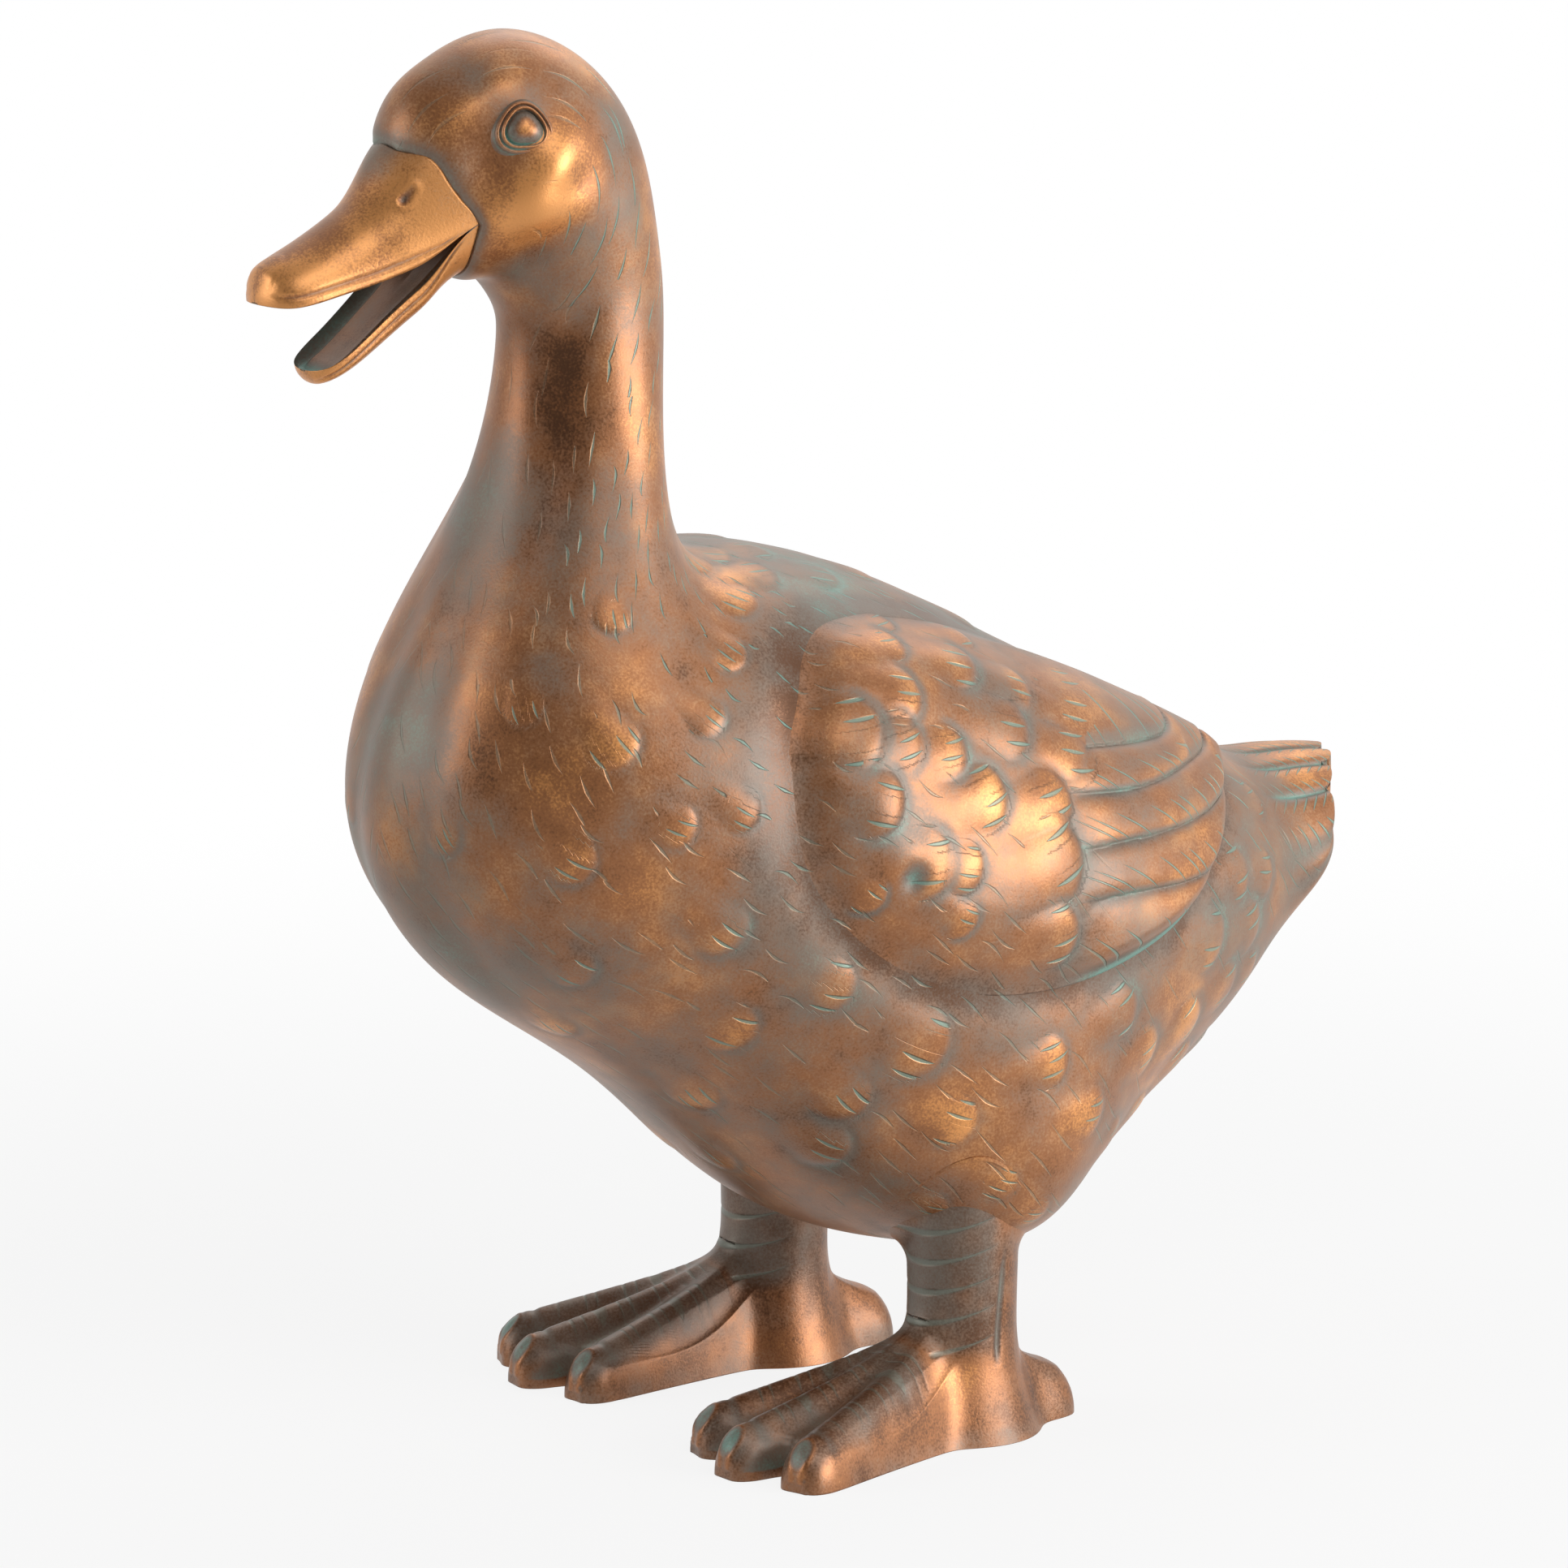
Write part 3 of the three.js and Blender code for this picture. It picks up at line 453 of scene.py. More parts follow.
def aged_bronze(name):
    """Bronze paint: umber, bronze and copper by how high the place stands, rubbed bright on top, and by the
    painted light and shade that the relief attribute also holds on some pieces; then grey haze and verdigris
    by how low, with a fine metallic grain."""
    material = bpy.data.materials.new(name)
    at = empty_tree(material)
    place = at.make("TexCoord", out="Object")
    # The relief attribute holds how high a place stands, and on some pieces also painted shade and painted
    # highlights.
    relief = at.attribute("relief")
    haze = at.attribute("haze")
    plume = at.attribute("plume", "Vector")
    hair = loose_strokes(at, plume) * plume.parts()[2]
    cut = hair.most(tool_strokes(at, at.attribute("quill", "Vector")))
    cloud = at.noise(place, *CLOUD)
    drift = at.noise(place, *DRIFT)
    grain = at.noise(place, *GRAIN)
    uneven = drift - 0.5 + (grain - 0.5) * 0.8
    high = relief * 0.5 + (cloud - 0.5) * 1.2 + uneven + 0.5
    low = haze + relief * -0.7 + (0.5 - cloud) * 1.5 + uneven + 0.2
    metal = high.step(-0.1, 0.5).mixed(UMBER, BRONZE)
    metal = high.step(0.45, 1.05).mixed(metal, COPPER)
    bloom = low.step(-0.1, 0.85) * 0.8
    colour = bloom.mixed(metal, HAZE)
    deep = (cut * 0.65).most(low.step(0.7, 1.6) * 0.75)
    colour = deep.mixed(colour, VERDIGRIS)
    matt = bloom.most(deep)
    height = (grain - 0.5) * 0.1 - cut
    bump = at.make("Bump", sockets={"Strength": 0.6, "Distance": CUT_DEPTH, "Height": height}, out="Normal")
    finish = {
        "Base Color": colour,
        "Metallic": 0.64 - matt * 0.4,
        "Roughness": 0.39 + matt * 0.15 + (grain - 0.5) * 0.12,
        "Coat Weight": 0.25,
        "Coat Roughness": 0.34,
        "Normal": bump,
    }
    shader = at.make("BsdfPrincipled", sockets=finish)
    at.make("OutputMaterial", sockets={"Surface": shader})
    return material


# Feather tips on the left half, and mirrored on the right: station, degrees from the back, half width, height
BODY_TIPS = (
    (11.74, 84, 6.5, 0.6), (10.03, 52, 7.5, 1), (10.19, 71, 7, 0.9), (10.96, 95, 9, 1), (10.59, 120, 9, 1),
    (10.07, 97, 7.5, 0.9), (9.58, 87, 7.5, 0.9), (9.4, 113, 10, 1.2), (10.01, 141, 9, 0.8),
    (8.57, 111, 10, 1.2), (9.05, 133, 11, 1.1), (7.9, 112, 13, 1.4), (8.27, 129, 11, 1.3),
    (7.6, 123, 10, 1.3), (6.95, 111, 9, 1.2),
    (6.28, 105, 10, 1.3), (5.95, 117, 10, 1.3), (6.58, 121, 9, 1.1), (8.9, 155, 10, 1), (8.24, 142, 11, 1.1),
    (5.34, 120, 11, 1.3), (4.66, 81, 10, 1.3), (4.07, 83, 9, 1.1), (5.15, 97, 11, 1.4), (4.42, 101, 10, 1.3),
    (3.81, 51, 7.5, 0.9), (7.55, 141, 7, 0.5), (7.25, 131, 7, 0.5), (6.98, 136, 7, 0.5),
    (6.2, 133, 9, 1), (5.75, 140, 10, 1), (5.2, 137, 10, 1.1), (4.75, 118, 10, 1.1), (4.25, 122, 9, 1),
    (6.75, 152, 9, 0.8), (6.1, 160, 10, 0.8), (5.4, 157, 10, 0.8), (4.7, 150, 10, 0.9), (7.6, 160, 10, 0.6),
    (9.7, 163, 9, 0.6), (8.5, 170, 10, 0.6), (11.2, 152, 7.5, 0.5), (11.7, 120, 6.5, 0.5), (10.4, 22, 9, 0.8),
    (9.7, 33, 9, 0.9), (9.5, 12, 9, 0.8), (9.0, 22, 10, 0.9), (8.6, 8, 10, 0.8), (8.0, 17, 10, 0.9),
    (7.4, 7, 10, 0.8), (6.6, 10, 9, 0.8), (6.0, 7, 9, 0.8), (5.2, 7, 7.5, 0.8), (4.5, 10, 9, 0.6),
    (4.1, 14, 7.5, 0.8),
)
# The wing's outline on the skin, from its front to its tip: station and degrees from the back
WING_UPPER = ((9.15, 66), (8.7, 40), (7.9, 28), (6.9, 21), (5.9, 16), (5.0, 15), (4.38, 35))
WING_LOWER = ((9.18, 71), (8.88, 94), (8.1, 101), (7.0, 99), (6.0, 93), (5.15, 79), (4.35, 43))
wing_upper = curve_through(WING_UPPER)
wing_lower = curve_through(WING_LOWER)
WING_SPANS = len(WING_UPPER) - 1


def wing_outline():
    """Points of the skin all along the wing's outline: its upper and lower edges, its front and its tip."""
    along = np.linspace(0, WING_SPANS, 200)
    share = np.linspace(0, 1, 20)[:, None]
    ends = [wing_upper(end) + (wing_lower(end) - wing_upper(end)) * share for end in (0, WING_SPANS)]
    edges = np.concatenate([wing_upper(along), wing_lower(along), *ends])
    return skin(edges[:, 0], np.radians(edges[:, 1]))


def under_wing(t, angle):
    """Whether a place on the skin lies between the wing's upper and lower edges."""
    along = np.linspace(WING_SPANS, 0, 200)
    outside = {"left": np.nan, "right": np.nan}
    first, last = [np.interp(t, *edge(along).T, **outside) for edge in (wing_upper, wing_lower)]
    degrees = np.degrees(np.abs(angle))
    return (degrees > first) & (degrees < last)


def distance_to(points, line):
    """The distance from each point of a grid to the nearest point of a line."""
    squares = np.full(points.shape[:2], np.inf)
    for spot in line:
        squares = np.minimum(squares, ((points - spot) ** 2).sum(-1))
    return np.sqrt(squares)


FRONT_DIP = 1.0  # how much deeper the valley along the wing's outline is at its front


def front_dip(t, angle):
    """FRONT_DIP, faded out by soft steps towards the wing's tip and towards the back."""
    return FRONT_DIP * smooth(7.4, 8.4, t) * smooth(25, 50, np.degrees(angle))


BREAST_CREASE = (161, 10, 1.7)  # on each side of the keel: degrees from the back, width and depth
NECK_GROOVE = (130, 9, 1.6)


def torso_form(t, angle, points):
    """The soft modelling that body and neck share: a crease each side of the keel and a groove up the neck.
    Each is a bell curve of the distance round the section, faded in and out along the duck."""
    degrees = np.degrees(np.abs(angle))
    one_degree = points[..., 0].max(axis=1, keepdims=True) / np.degrees(1)
    place, width, crease_depth = BREAST_CREASE
    crease = sum(bell((degrees - side) * one_degree, width) for side in (place, 360 - place))
    crease = crease * smooth(9.4, 10.6, t) * smooth(13.2, 12.0, t)
    place, width, groove_depth = NECK_GROOVE
    groove = bell((degrees - place) * one_degree, width) * smooth(12.0, 13.2, t) * smooth(14.9, 14.3, t)
    return -crease_depth * crease - groove_depth * groove, 0.2 * crease


def plume_of(t, angle, amount):
    """Coordinates for loose strokes, in millimetres: round the skin from the back, and towards the tail. The
    third number is how many of the strokes show."""
    upper_fore, upper_z, lower_fore, lower_z, half = np.moveaxis(station_at(t), -1, 0)[:5]
    girth = (half + np.hypot(lower_fore - upper_fore, lower_z - upper_z) / 2) / 2
    fine = np.linspace(-0.5, MUZZLE + 0.5, 2000)
    length = lengths_along(skin(fine, np.radians(100)))
    return np.stack([np.abs(angle) * girth, -np.interp(t, fine, length), amount], -1)


def flat_data(grids, trim=np.asarray):
    """Point attributes of a grid that is trimmed first, as one value or one vector for each point."""
    return {key: trim(values).reshape(-1, *values.shape[2:]) for key, values in grids.items()}


def wall_faces(outer, inner, closed=False):
    """Faces of a wall: the outer grid, the coarse inner grid turned round, and rims between their borders."""
    outside = np.arange(outer[0] * outer[1]).reshape(outer)
    within = outside.size + np.arange(inner[0] * inner[1]).reshape(inner)
    faces = [grid_faces(*outer, closed), grid_faces(*inner, closed)[:, ::-1] + outside.size]
    if closed:
        outside = np.concatenate([outside, outside[:, :1]], axis=1)
        within = np.concatenate([within, within[:, :1]], axis=1)
    else:
        faces.append(rim_faces(outside[:, 0], within[:, 0]))
        faces.append(rim_faces(outside[:, -1], within[:, -1])[:, ::-1])
    return faces + [rim_faces(outside[0], within[0])[:, ::-1], rim_faces(outside[-1], within[-1])]


def finished(piece, material, slot, *nodes):
    """Paints a piece and says what it rides on and which solids it stands for. The slot is not used."""
    piece.data.materials.append(material)
    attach(piece, "root")
    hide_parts(*nodes)


# Patches of haze on body, neck and head: station, degrees, reach and strength. Below 0 there is less haze.
HAZE_PATCHES = (
    (11.8, 178, 22, 0.35), (10.9, 155, 16, 0.4), (10.2, 165, 20, 0.4), (9.1, 26, 22, 0.05),
    (9.8, 66, 16, 0.25), (9.3, 112, 16, 0.25), (8.76, 104, 14, 0.15), (8.2, 108, 12, 0.2),
    (7.2, 104, 16, 0.1), (9.7, 147, 14, 0.4), (5.1, 96, 20, 0.35), (4.2, 95, 18, 0.45), (8.0, 144, 18, 0.3),
    (7.8, 8, 22, 0.1), (11.0, 112, 16, -0.5), (11.7, 133, 14, -0.5), (9.0, 125, 12, -0.3),
    (7.6, 118, 14, -0.3), (18.4, 62, 9, 0.5), (18.2, 90, 7, 0.4), (19.1, 74, 7, -0.5), (20.0, 70, 8, 0.2),
    (20.8, 25, 7, 0.2), (19.9, 98, 6, 0.2), (16.8, 150, 12, 0.5), (18.9, 34, 8, 0.4), (14.9, 120, 14, 0.25),
    (15.8, 75, 10, 0.25), (13.6, 100, 12, 0.2), (13.0, 165, 20, 0.4), (17.0, 104, 11, -0.8),
    (17.6, 75, 8, -0.3), (13.4, 75, 14, -0.3),
)


def soft_forms(points, forms):
    """The sum of bell curves of the distances along and across the skin from each form's middle, on both
    sides."""
    total = np.zeros(points.shape[:2])
    for station, degree, along, across, height in forms:
        for sign in (1, -1):
            seat, heading, sideways = place_on_skin(station, sign * degree)
            offset = points - seat
            total += height * bell(offset @ heading, along) * bell(offset @ sideways, across)
    return total


def haze_patches(points):
    """The haze of the round patches on both sides: their sum, within limits."""
    patches = [(station, degree, reach, reach, most) for station, degree, reach, most in HAZE_PATCHES]
    return np.clip(soft_forms(points, patches), -0.6, 0.8)


BODY_ROWS = 336
BODY_COLUMNS = 288
COARSE = 8  # the inner wall has one cell for this many outside, each way
VALLEY = (0.4, 0.8, 9)  # along the wing's outline: depth at the back, what is added on the flank, and width
UNDER_WING = 0.8  # how much lower the skin lies under a wing
TIP_BLUR = 40  # passes that leave only the tips' own heights in the paint
MIRRORS = (("left", np.array([1, 1, 1])), ("right", np.array([-1, 1, 1])))

rows = with_spare(even_stations(TAIL_JOINT, NECK_JOINT, BODY_ROWS, np.radians(125)))
columns = with_spare(np.linspace(0, np.pi, BODY_COLUMNS + 1))
T, A = np.meshgrid(rows, columns, indexing="ij")
base = skin(T, A)
form, crease_haze = torso_form(T, A, base)
valley = distance_to(base, wing_outline())
relief, moats, quill = feather_tips(base, BODY_TIPS, place_on_skin)
covered = under_wing(T, A)
degrees = np.degrees(np.abs(A))
deep = VALLEY[0] + VALLEY[1] * smooth(25, 50, degrees) + front_dip(T, A)
form = form - deep * np.where(covered, 1, bell(valley, VALLEY[2]))
form = form - UNDER_WING * covered * smooth(4, 10, valley)
surface = raised(base, form + relief)
# Painted shade in the valley along the wing's outline, widest in front of the wing: there the paint is darker
# and has less haze.
shade = bell(valley, 7 + 9 * smooth(8.6, 9.2, T) * smooth(20, 45, degrees))
hairy = (0.35 + 0.65 * smooth(110, 60, degrees)) * (relief < 0.4)
body_data = {
    "relief": (relief - blurred(relief, TIP_BLUR)) / 1.2 - 1.5 * shade,
    "haze": crease_haze - 1.05 * shade + 0.15 * bell(valley - 12, 6) + 0.2 * moats + haze_patches(base),
    "quill": quill,
    "plume": plume_of(T, A, hairy),
}
outer = inside(surface)
inner = inside(raised(base, form - WALL))[::COARSE, ::COARSE]
body_points = stacked(outer, inner)
body_faces = wall_faces(outer.shape[:2], inner.shape[:2])
body_normals = inside(normals_of(surface)).reshape(-1, 3)
body_data = flat_data(body_data, inside)
bronze = aged_bronze("aged_bronze")
for side, mirror in MIRRORS:
    body = put_mesh("body_skin_" + side, body_points * mirror, body_faces, body_data, body_normals * mirror)
    finished(body, bronze, "aged_bronze", "body_" + side)


# Fixings inside: two cast resin sleeves that join the neck, and for each leg a zinc-plated steel rod with a
# washer and a nut, drawn up on a flat bar across the body. None is seen once the duck is glued together.
def plain_finish(name, first, second, scale, metallic, roughness):
    """Two tones mixed by noise, rougher where the second shows."""
    material = bpy.data.materials.new(name)
    at = empty_tree(material)
    blot = at.noise(at.make("TexCoord", out="Object"), scale, 4.0, 0.6).step(0.35, 0.65)
    finish = {
        "Base Color": blot.mixed(first, second),
        "Metallic": metallic,
        "Roughness": blot * 0.15 + roughness,
    }
    at.make("OutputMaterial", sockets={"Surface": at.make("BsdfPrincipled", sockets=finish)})
    return material


bare_resin = plain_finish("bare_resin", paint(196, 188, 172), paint(172, 164, 150), 120.0, 0.0, 0.75)
zinc_steel = plain_finish("zinc_steel", paint(186, 190, 192), paint(150, 154, 158), 260.0, 1.0, 0.32)
for node in ("neck_sleeve", "head_sleeve"):
    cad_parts[node].material_slots[0].material = bare_resin
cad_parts["leg_tie_bar"].material_slots[0].material = zinc_steel
for side, _ in MIRRORS:
    for node in ("leg_rod_", "rod_washer_", "rod_nut_"):
        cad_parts[node + side].material_slots[0].material = zinc_steel


# Neck: a tube cast in resin and glued over its sleeves between body and head. Slanting strokes run down its
# sides, and a shallow groove runs down each side of the throat.
NECK_ROWS = 200
NECK_COLUMNS = 352
HEAD_SHADE = 0.25  # how strongly the forms of neck and head shade the paint


def ring_patch(start, end, row_count, column_count):
    """Stations, angles and points of the skin all round, with the spare rows and columns."""
    steps = with_spare(even_stations(start, end, row_count, np.radians(100)))
    around = with_spare(np.linspace(-np.pi, np.pi, column_count + 1))
    t, angle = np.meshgrid(steps, around, indexing="ij")
    return t, angle, skin(t, angle)


def ring(grid):
    """A grid all round without its spare rows and columns, nor the last column, which is the first."""
    return inside(grid)[:, :-1]


T, A, base = ring_patch(NECK_JOINT, HEAD_JOINT, NECK_ROWS, NECK_COLUMNS)
form, crease_haze = torso_form(T, A, base)
surface = raised(base, form)
degrees = np.degrees(np.abs(A))
# Painted shade in the grooves down the throat, deepest just below the head: there the paint is darker and has
# less haze.
dark = (HEAD_SHADE + 0.45 * bell(T - 13.8, 0.5)) * form * smooth(NECK_JOINT, NECK_JOINT + 0.8, T)
neck_data = {
    "relief": dark,
    "haze": crease_haze + haze_patches(base) + dark,
    "quill": 0 * base,
    "plume": plume_of(T, A, 0.15 + 0.85 * smooth(125, 100, degrees)),
}
outer = ring(surface)
inner = ring(raised(base, form - WALL))[::COARSE, ::COARSE]
neck = put_mesh(
    "neck_skin",
    stacked(outer, inner),
    wall_faces(outer.shape[:2], inner.shape[:2], closed=True),
    flat_data(neck_data, ring),
    ring(normals_of(surface)).reshape(-1, 3),
)
finished(neck, bronze, "aged_bronze", "neck")


# Tail: a drooping fan cast in resin in one piece, with a spigot that is glued into the body. Seven feathers
# with rounded ends lie side by side in it, each scored with slanting strokes.
TAIL_FEATHERS = 7
TAIL_SCALLOP = 3.5  # how deep the notches between the feather ends are
TAIL_ROUND = 24  # how far the fan's sides stand in front of its middle
TAIL_CUT = 2.4  # how far up the tail both reach, in stations
TAIL_ROWS = 144
TAIL_COLUMNS = 480
TAIL_STROKE = 4.6  # between strokes on a feather
TIP_STATION = 4.5  # the body's tips behind this station reach over the joint

T, A, base = ring_patch(0, TAIL_JOINT, TAIL_ROWS, TAIL_COLUMNS)
across = np.sin(A)
in_feather = np.mod((across + 1) / 2 * TAIL_FEATHERS, 1) - 0.5
near_tip = np.clip(1 - T / TAIL_CUT, 0, None) ** 2
base[..., 1] -= near_tip * (TAIL_SCALLOP * (2 * in_feather) ** 2 + TAIL_ROUND * across**2)
shown = smooth(TAIL_JOINT, 2.2, T) * smooth(0.0, 0.3, np.abs(np.cos(A)))
relief = shown * (0.6 - 1.5 * np.abs(2 * in_feather) ** 4)
near_joint = [tip for tip in BODY_TIPS if tip[0] < TIP_STATION]
both_sides = [(t, sign * angle, *size) for t, angle, *size in near_joint for sign in (1, -1)]
mounds, _, tip_quill = feather_tips(base, both_sides, place_on_skin)
surface = raised(base, relief + mounds)
upper = smooth(-0.2, 0.1, np.cos(A))
strokes = (base[..., 1] - np.abs(in_feather) * 14) / TAIL_STROKE
tail_quill = np.stack([strokes, (np.abs(2 * in_feather) - 0.55) / 0.38, shown * upper], -1)
tail_data = {
    "relief": relief - 0.4 * shown + (mounds - blurred(mounds, TIP_BLUR)) / 1.2,
    "haze": 0.5 * np.abs(2 * in_feather) ** 4 * shown + 0.35 * smooth(2.0, 3.4, T),
    "quill": np.where(tip_quill[..., 2:] > 0, tip_quill, tail_quill),
    "plume": plume_of(T, A, 0.6 * (1 - shown)),
}
outer = ring(surface)
numbers = np.arange(outer[..., 0].size).reshape(outer.shape[:2])
quarter = TAIL_COLUMNS // 4
top_edge = np.arange(quarter, 3 * quarter)
below = np.mod(3 * TAIL_COLUMNS // 2 - np.arange(quarter, 3 * quarter + 1), TAIL_COLUMNS)
end_quads = np.stack([top_edge, top_edge + 1, below[1:], below[:-1]], -1)
end_corners = np.stack([end_quads[0, :3], end_quads[-1, [0, 1, 3]]])
tail = put_mesh(
    "tail_fan",
    stacked(outer, outer[-1].mean(axis=0)),
    [
        grid_faces(*outer.shape[:2], closed=True),
        end_quads[1:-1],
        end_corners,
        fan_faces(numbers[-1], numbers.size),
    ],
    flat_data(tail_data, ring),
    (ring(normals_of(surface)) * (ring(T) > 2.5)[..., None]).reshape(-1, 3),
)
finished(tail, bronze, "aged_bronze", "tail")


# Head: a hollow cap of resin glued over the neck's upper sleeve. The cheek swells below the eye, the lores
# are dented, and a brow runs from the bill towards the crown.
HEAD_ROWS = 224
HEAD_COLUMNS = 360
MUZZLE_SUNK = 4  # the skin lies this much lower under the bill
# Where each half of the bill meets the head: degrees round the half from the mouth's corner, then the station
# and the degrees of that place on the skin
UPPER_BORDER = (
    (0, 19.65, 104), (12, 19.85, 94), (20, 20.1, 84), (29, 20.3, 71), (38, 20.36, 60), (46, 20.48, 49),
    (56, 20.72, 38), (72, 20.98, 20), (90, 21, 0),
)
LOWER_BORDER = ((0, 19.65, 104), (24, 19.93, 114), (40, 20.2, 126), (62, 20.44, 148), (90, 20.55, 180))


def border_at(border, angle, out):
    """Points of a border for angles from one corner of the mouth (0) to the other (pi), so far out of the
    skin: a curve through the border's rows, mirrored in the middle plane."""
    fine = curve_through(border)(np.linspace(0, len(border) - 1, 200))
    fold = np.degrees(np.minimum(angle, np.pi - angle))
    station = np.interp(fold, fine[:, 0], fine[:, 1])
    degrees = np.interp(fold, fine[:, 0], fine[:, 2]) * np.where(angle <= np.pi / 2, 1, -1)
    return skin(station, np.radians(degrees), out)


def beyond_border(t, degrees):
    """How many stations a place on the skin lies in front of the bill's border."""
    rows = np.concatenate([UPPER_BORDER[::-1], LOWER_BORDER[1:]])
    return t - np.interp(degrees, rows[:, 2], rows[:, 1])


# Soft forms of one side: station, degrees, reach along and across the skin, and height
HEAD_FORMS = (
    (18.0, 106, 11, 11, 3.4), (19.3, 76, 8, 8, -1.4), (19.2, 46, 14, 6, 1.2), (18.5, 90, 6, 9, -0.4),
    (16.3, 140, 9, 9, -1.2), (19.2, 104, 5, 6, 0.8), (18.6, 42, 7, 9, 0.9),
)
T, A, base = ring_patch(HEAD_JOINT, MUZZLE, HEAD_ROWS, HEAD_COLUMNS)
form, _ = torso_form(T, A, base)
half_turn = np.linspace(0, np.pi, 120)
bill_line = np.concatenate([border_at(border, half_turn, 0) for border in (UPPER_BORDER, LOWER_BORDER)])
from_bill = distance_to(base, bill_line)
degrees = np.degrees(np.abs(A))
form += soft_forms(base, HEAD_FORMS) - 0.8 * bell(from_bill, 2.5)
surface = raised(base, form - MUZZLE_SUNK * smooth(0, 0.3, beyond_border(T, degrees)))
nape_hair = smooth(18.2, 16.8, T) * smooth(150, 110, degrees)
crown_hair = 0.25 * smooth(17, 18, T) * smooth(60, 40, degrees)
# The head's forms are painted as light and shade by HEAD_SHADE: the cheek and other swellings lighter, dents
# darker. The paint is also lighter towards the bill and darker along the bill's border.
head_data = {
    "relief": form * HEAD_SHADE + 0.2 * smooth(16.2, 18.4, T) - 0.35 * bell(from_bill, 2),
    "haze": haze_patches(base) + 0.3 * bell(from_bill, 4),
    "quill": 0 * base,
    "plume": plume_of(T, A, np.clip(nape_hair + crown_hair, 0, 1)),
}
outer = ring(surface)
head = put_mesh(
    "head_skin",
    stacked(outer, outer[[0, -1]].mean(axis=1)),
    capped_faces(*outer.shape[:2]),
    flat_data(head_data, ring),
    ring(normals_of(surface)).reshape(-1, 3),
)
finished(head, bronze, "aged_bronze", "head")


# Bill: an upper and a lower half, cast apart in resin and glued by tenons into the muzzle, a little open. A
# groove follows each edge, the upper half has nostrils and a nail, and the lower half is a shallow trough.
BILL_SQUARE = (0.6, 0.85)  # how square the sections are at the root and further out (1 is an ellipse)
BILL_BLUNT = (5.3, 0.72)  # where the tip's height is rounded from, and over how many sections
BILL_ROUND = (4.2, 1.82)  # and its width
BILL_ROOT = 0.85  # where a half starts, in sections
BORDER_SINK = 1.2  # and how far below the skin
BILL_ROWS = 180
BILL_COLUMNS = 256
PALATE = 2.5  # how deep the inner side of the upper half is hollowed
TROUGH = 4  # and of the lower half
# Rows from root to tip: fore and height of the ridge, fore and height of the edge, half width
UPPER_BILL = (
    (132, 412, 106, 391, 27.5), (141.5, 403.5, 121, 383, 25), (150.5, 394, 135, 376.5, 20),
    (160.5, 387, 150, 371, 17), (171.5, 381, 166, 367, 15.5), (180.5, 376.5, 178.5, 364.5, 15),
    (186, 372.5, 185.5, 364.5, 14),
)
LOWER_BILL = (
    (106, 390, 106, 374, 25.5), (121, 382, 119.5, 369.5, 22), (133, 371.5, 131, 360.5, 17),
    (145, 361.5, 143, 351.5, 14), (156, 352.5, 154, 344, 13), (165, 346, 163.5, 339.5, 12.5),
    (169.5, 343.5, 169, 339, 11.5),
)
EDGE_GROOVE = 3.2  # its distance from the bill's edge
NOSTRIL = np.array([14, -141, 395])
NOSTRIL_WAY = unit(np.array([0, -0.75, -0.66]))
NAIL = np.array([0, -184, 374])


def bill_half(rows, border, arched, hollow):
    """A bill half over its sections s and an angle: the side is the half width times the cosine. Half a turn
    bulges from the edge line to the ridge by a power of the sine, and the other half is hollowed a little.
    Its first section is drawn onto the border on the head, and less so further out."""
    end = sum(BILL_BLUNT) - 0.0001
    steps = BILL_ROOT + (end - BILL_ROOT) * np.sin(np.linspace(0, np.pi / 2, BILL_ROWS + 1))
    s, angle = np.meshgrid(steps, np.linspace(0, 2 * np.pi, BILL_COLUMNS + 1)[:-1], indexing="ij")
    ridge_fore, ridge_z, edge_fore, edge_z, half = np.moveaxis(curve_through(rows)(np.minimum(s, 6)), -1, 0)
    blunt, rounded = [
        np.sqrt(1 - (np.clip(s - start, 0, None) / span) ** 2) for start, span in (BILL_BLUNT, BILL_ROUND)
    ]
    tall = np.hypot(ridge_fore - edge_fore, ridge_z - edge_z)
    outside = angle <= np.pi
    root, open_end = BILL_SQUARE
    bulge = np.abs(np.sin(angle)) ** (root + (open_end - root) * smooth(BILL_ROOT, 2.8, s))
    dish = np.minimum(hollow, tall / 2) / tall * (1 - np.abs(np.cos(angle)) ** 5)
    share = np.where(outside, bulge, dish) * blunt
    rise = share if arched else 1 - share
    fore = edge_fore + (ridge_fore - edge_fore) * rise
    points = np.stack([half * rounded * np.cos(angle), -fore, edge_z + (ridge_z - edge_z) * rise], -1)
    corner = np.where(np.cos(angle[0]) > 0, 0, np.pi)
    drawn = border_at(border, np.where(outside[0], angle[0], corner), -BORDER_SINK) - points[0]
    drawn = drawn * np.where(outside[0], 1, np.abs(np.cos(angle[0])))[:, None]
    points = points + drawn * smooth(BILL_ROOT + 1.6, BILL_ROOT, s)[..., None]
    return s, angle, points, outside * share * tall


def turned_normals(points):
    """Normals of a grid that is closed round its columns."""
    wide = np.concatenate([points[:, -2:], points, points[:, :2]], axis=1)
    return normals_of(wide)[:, 2:-2]


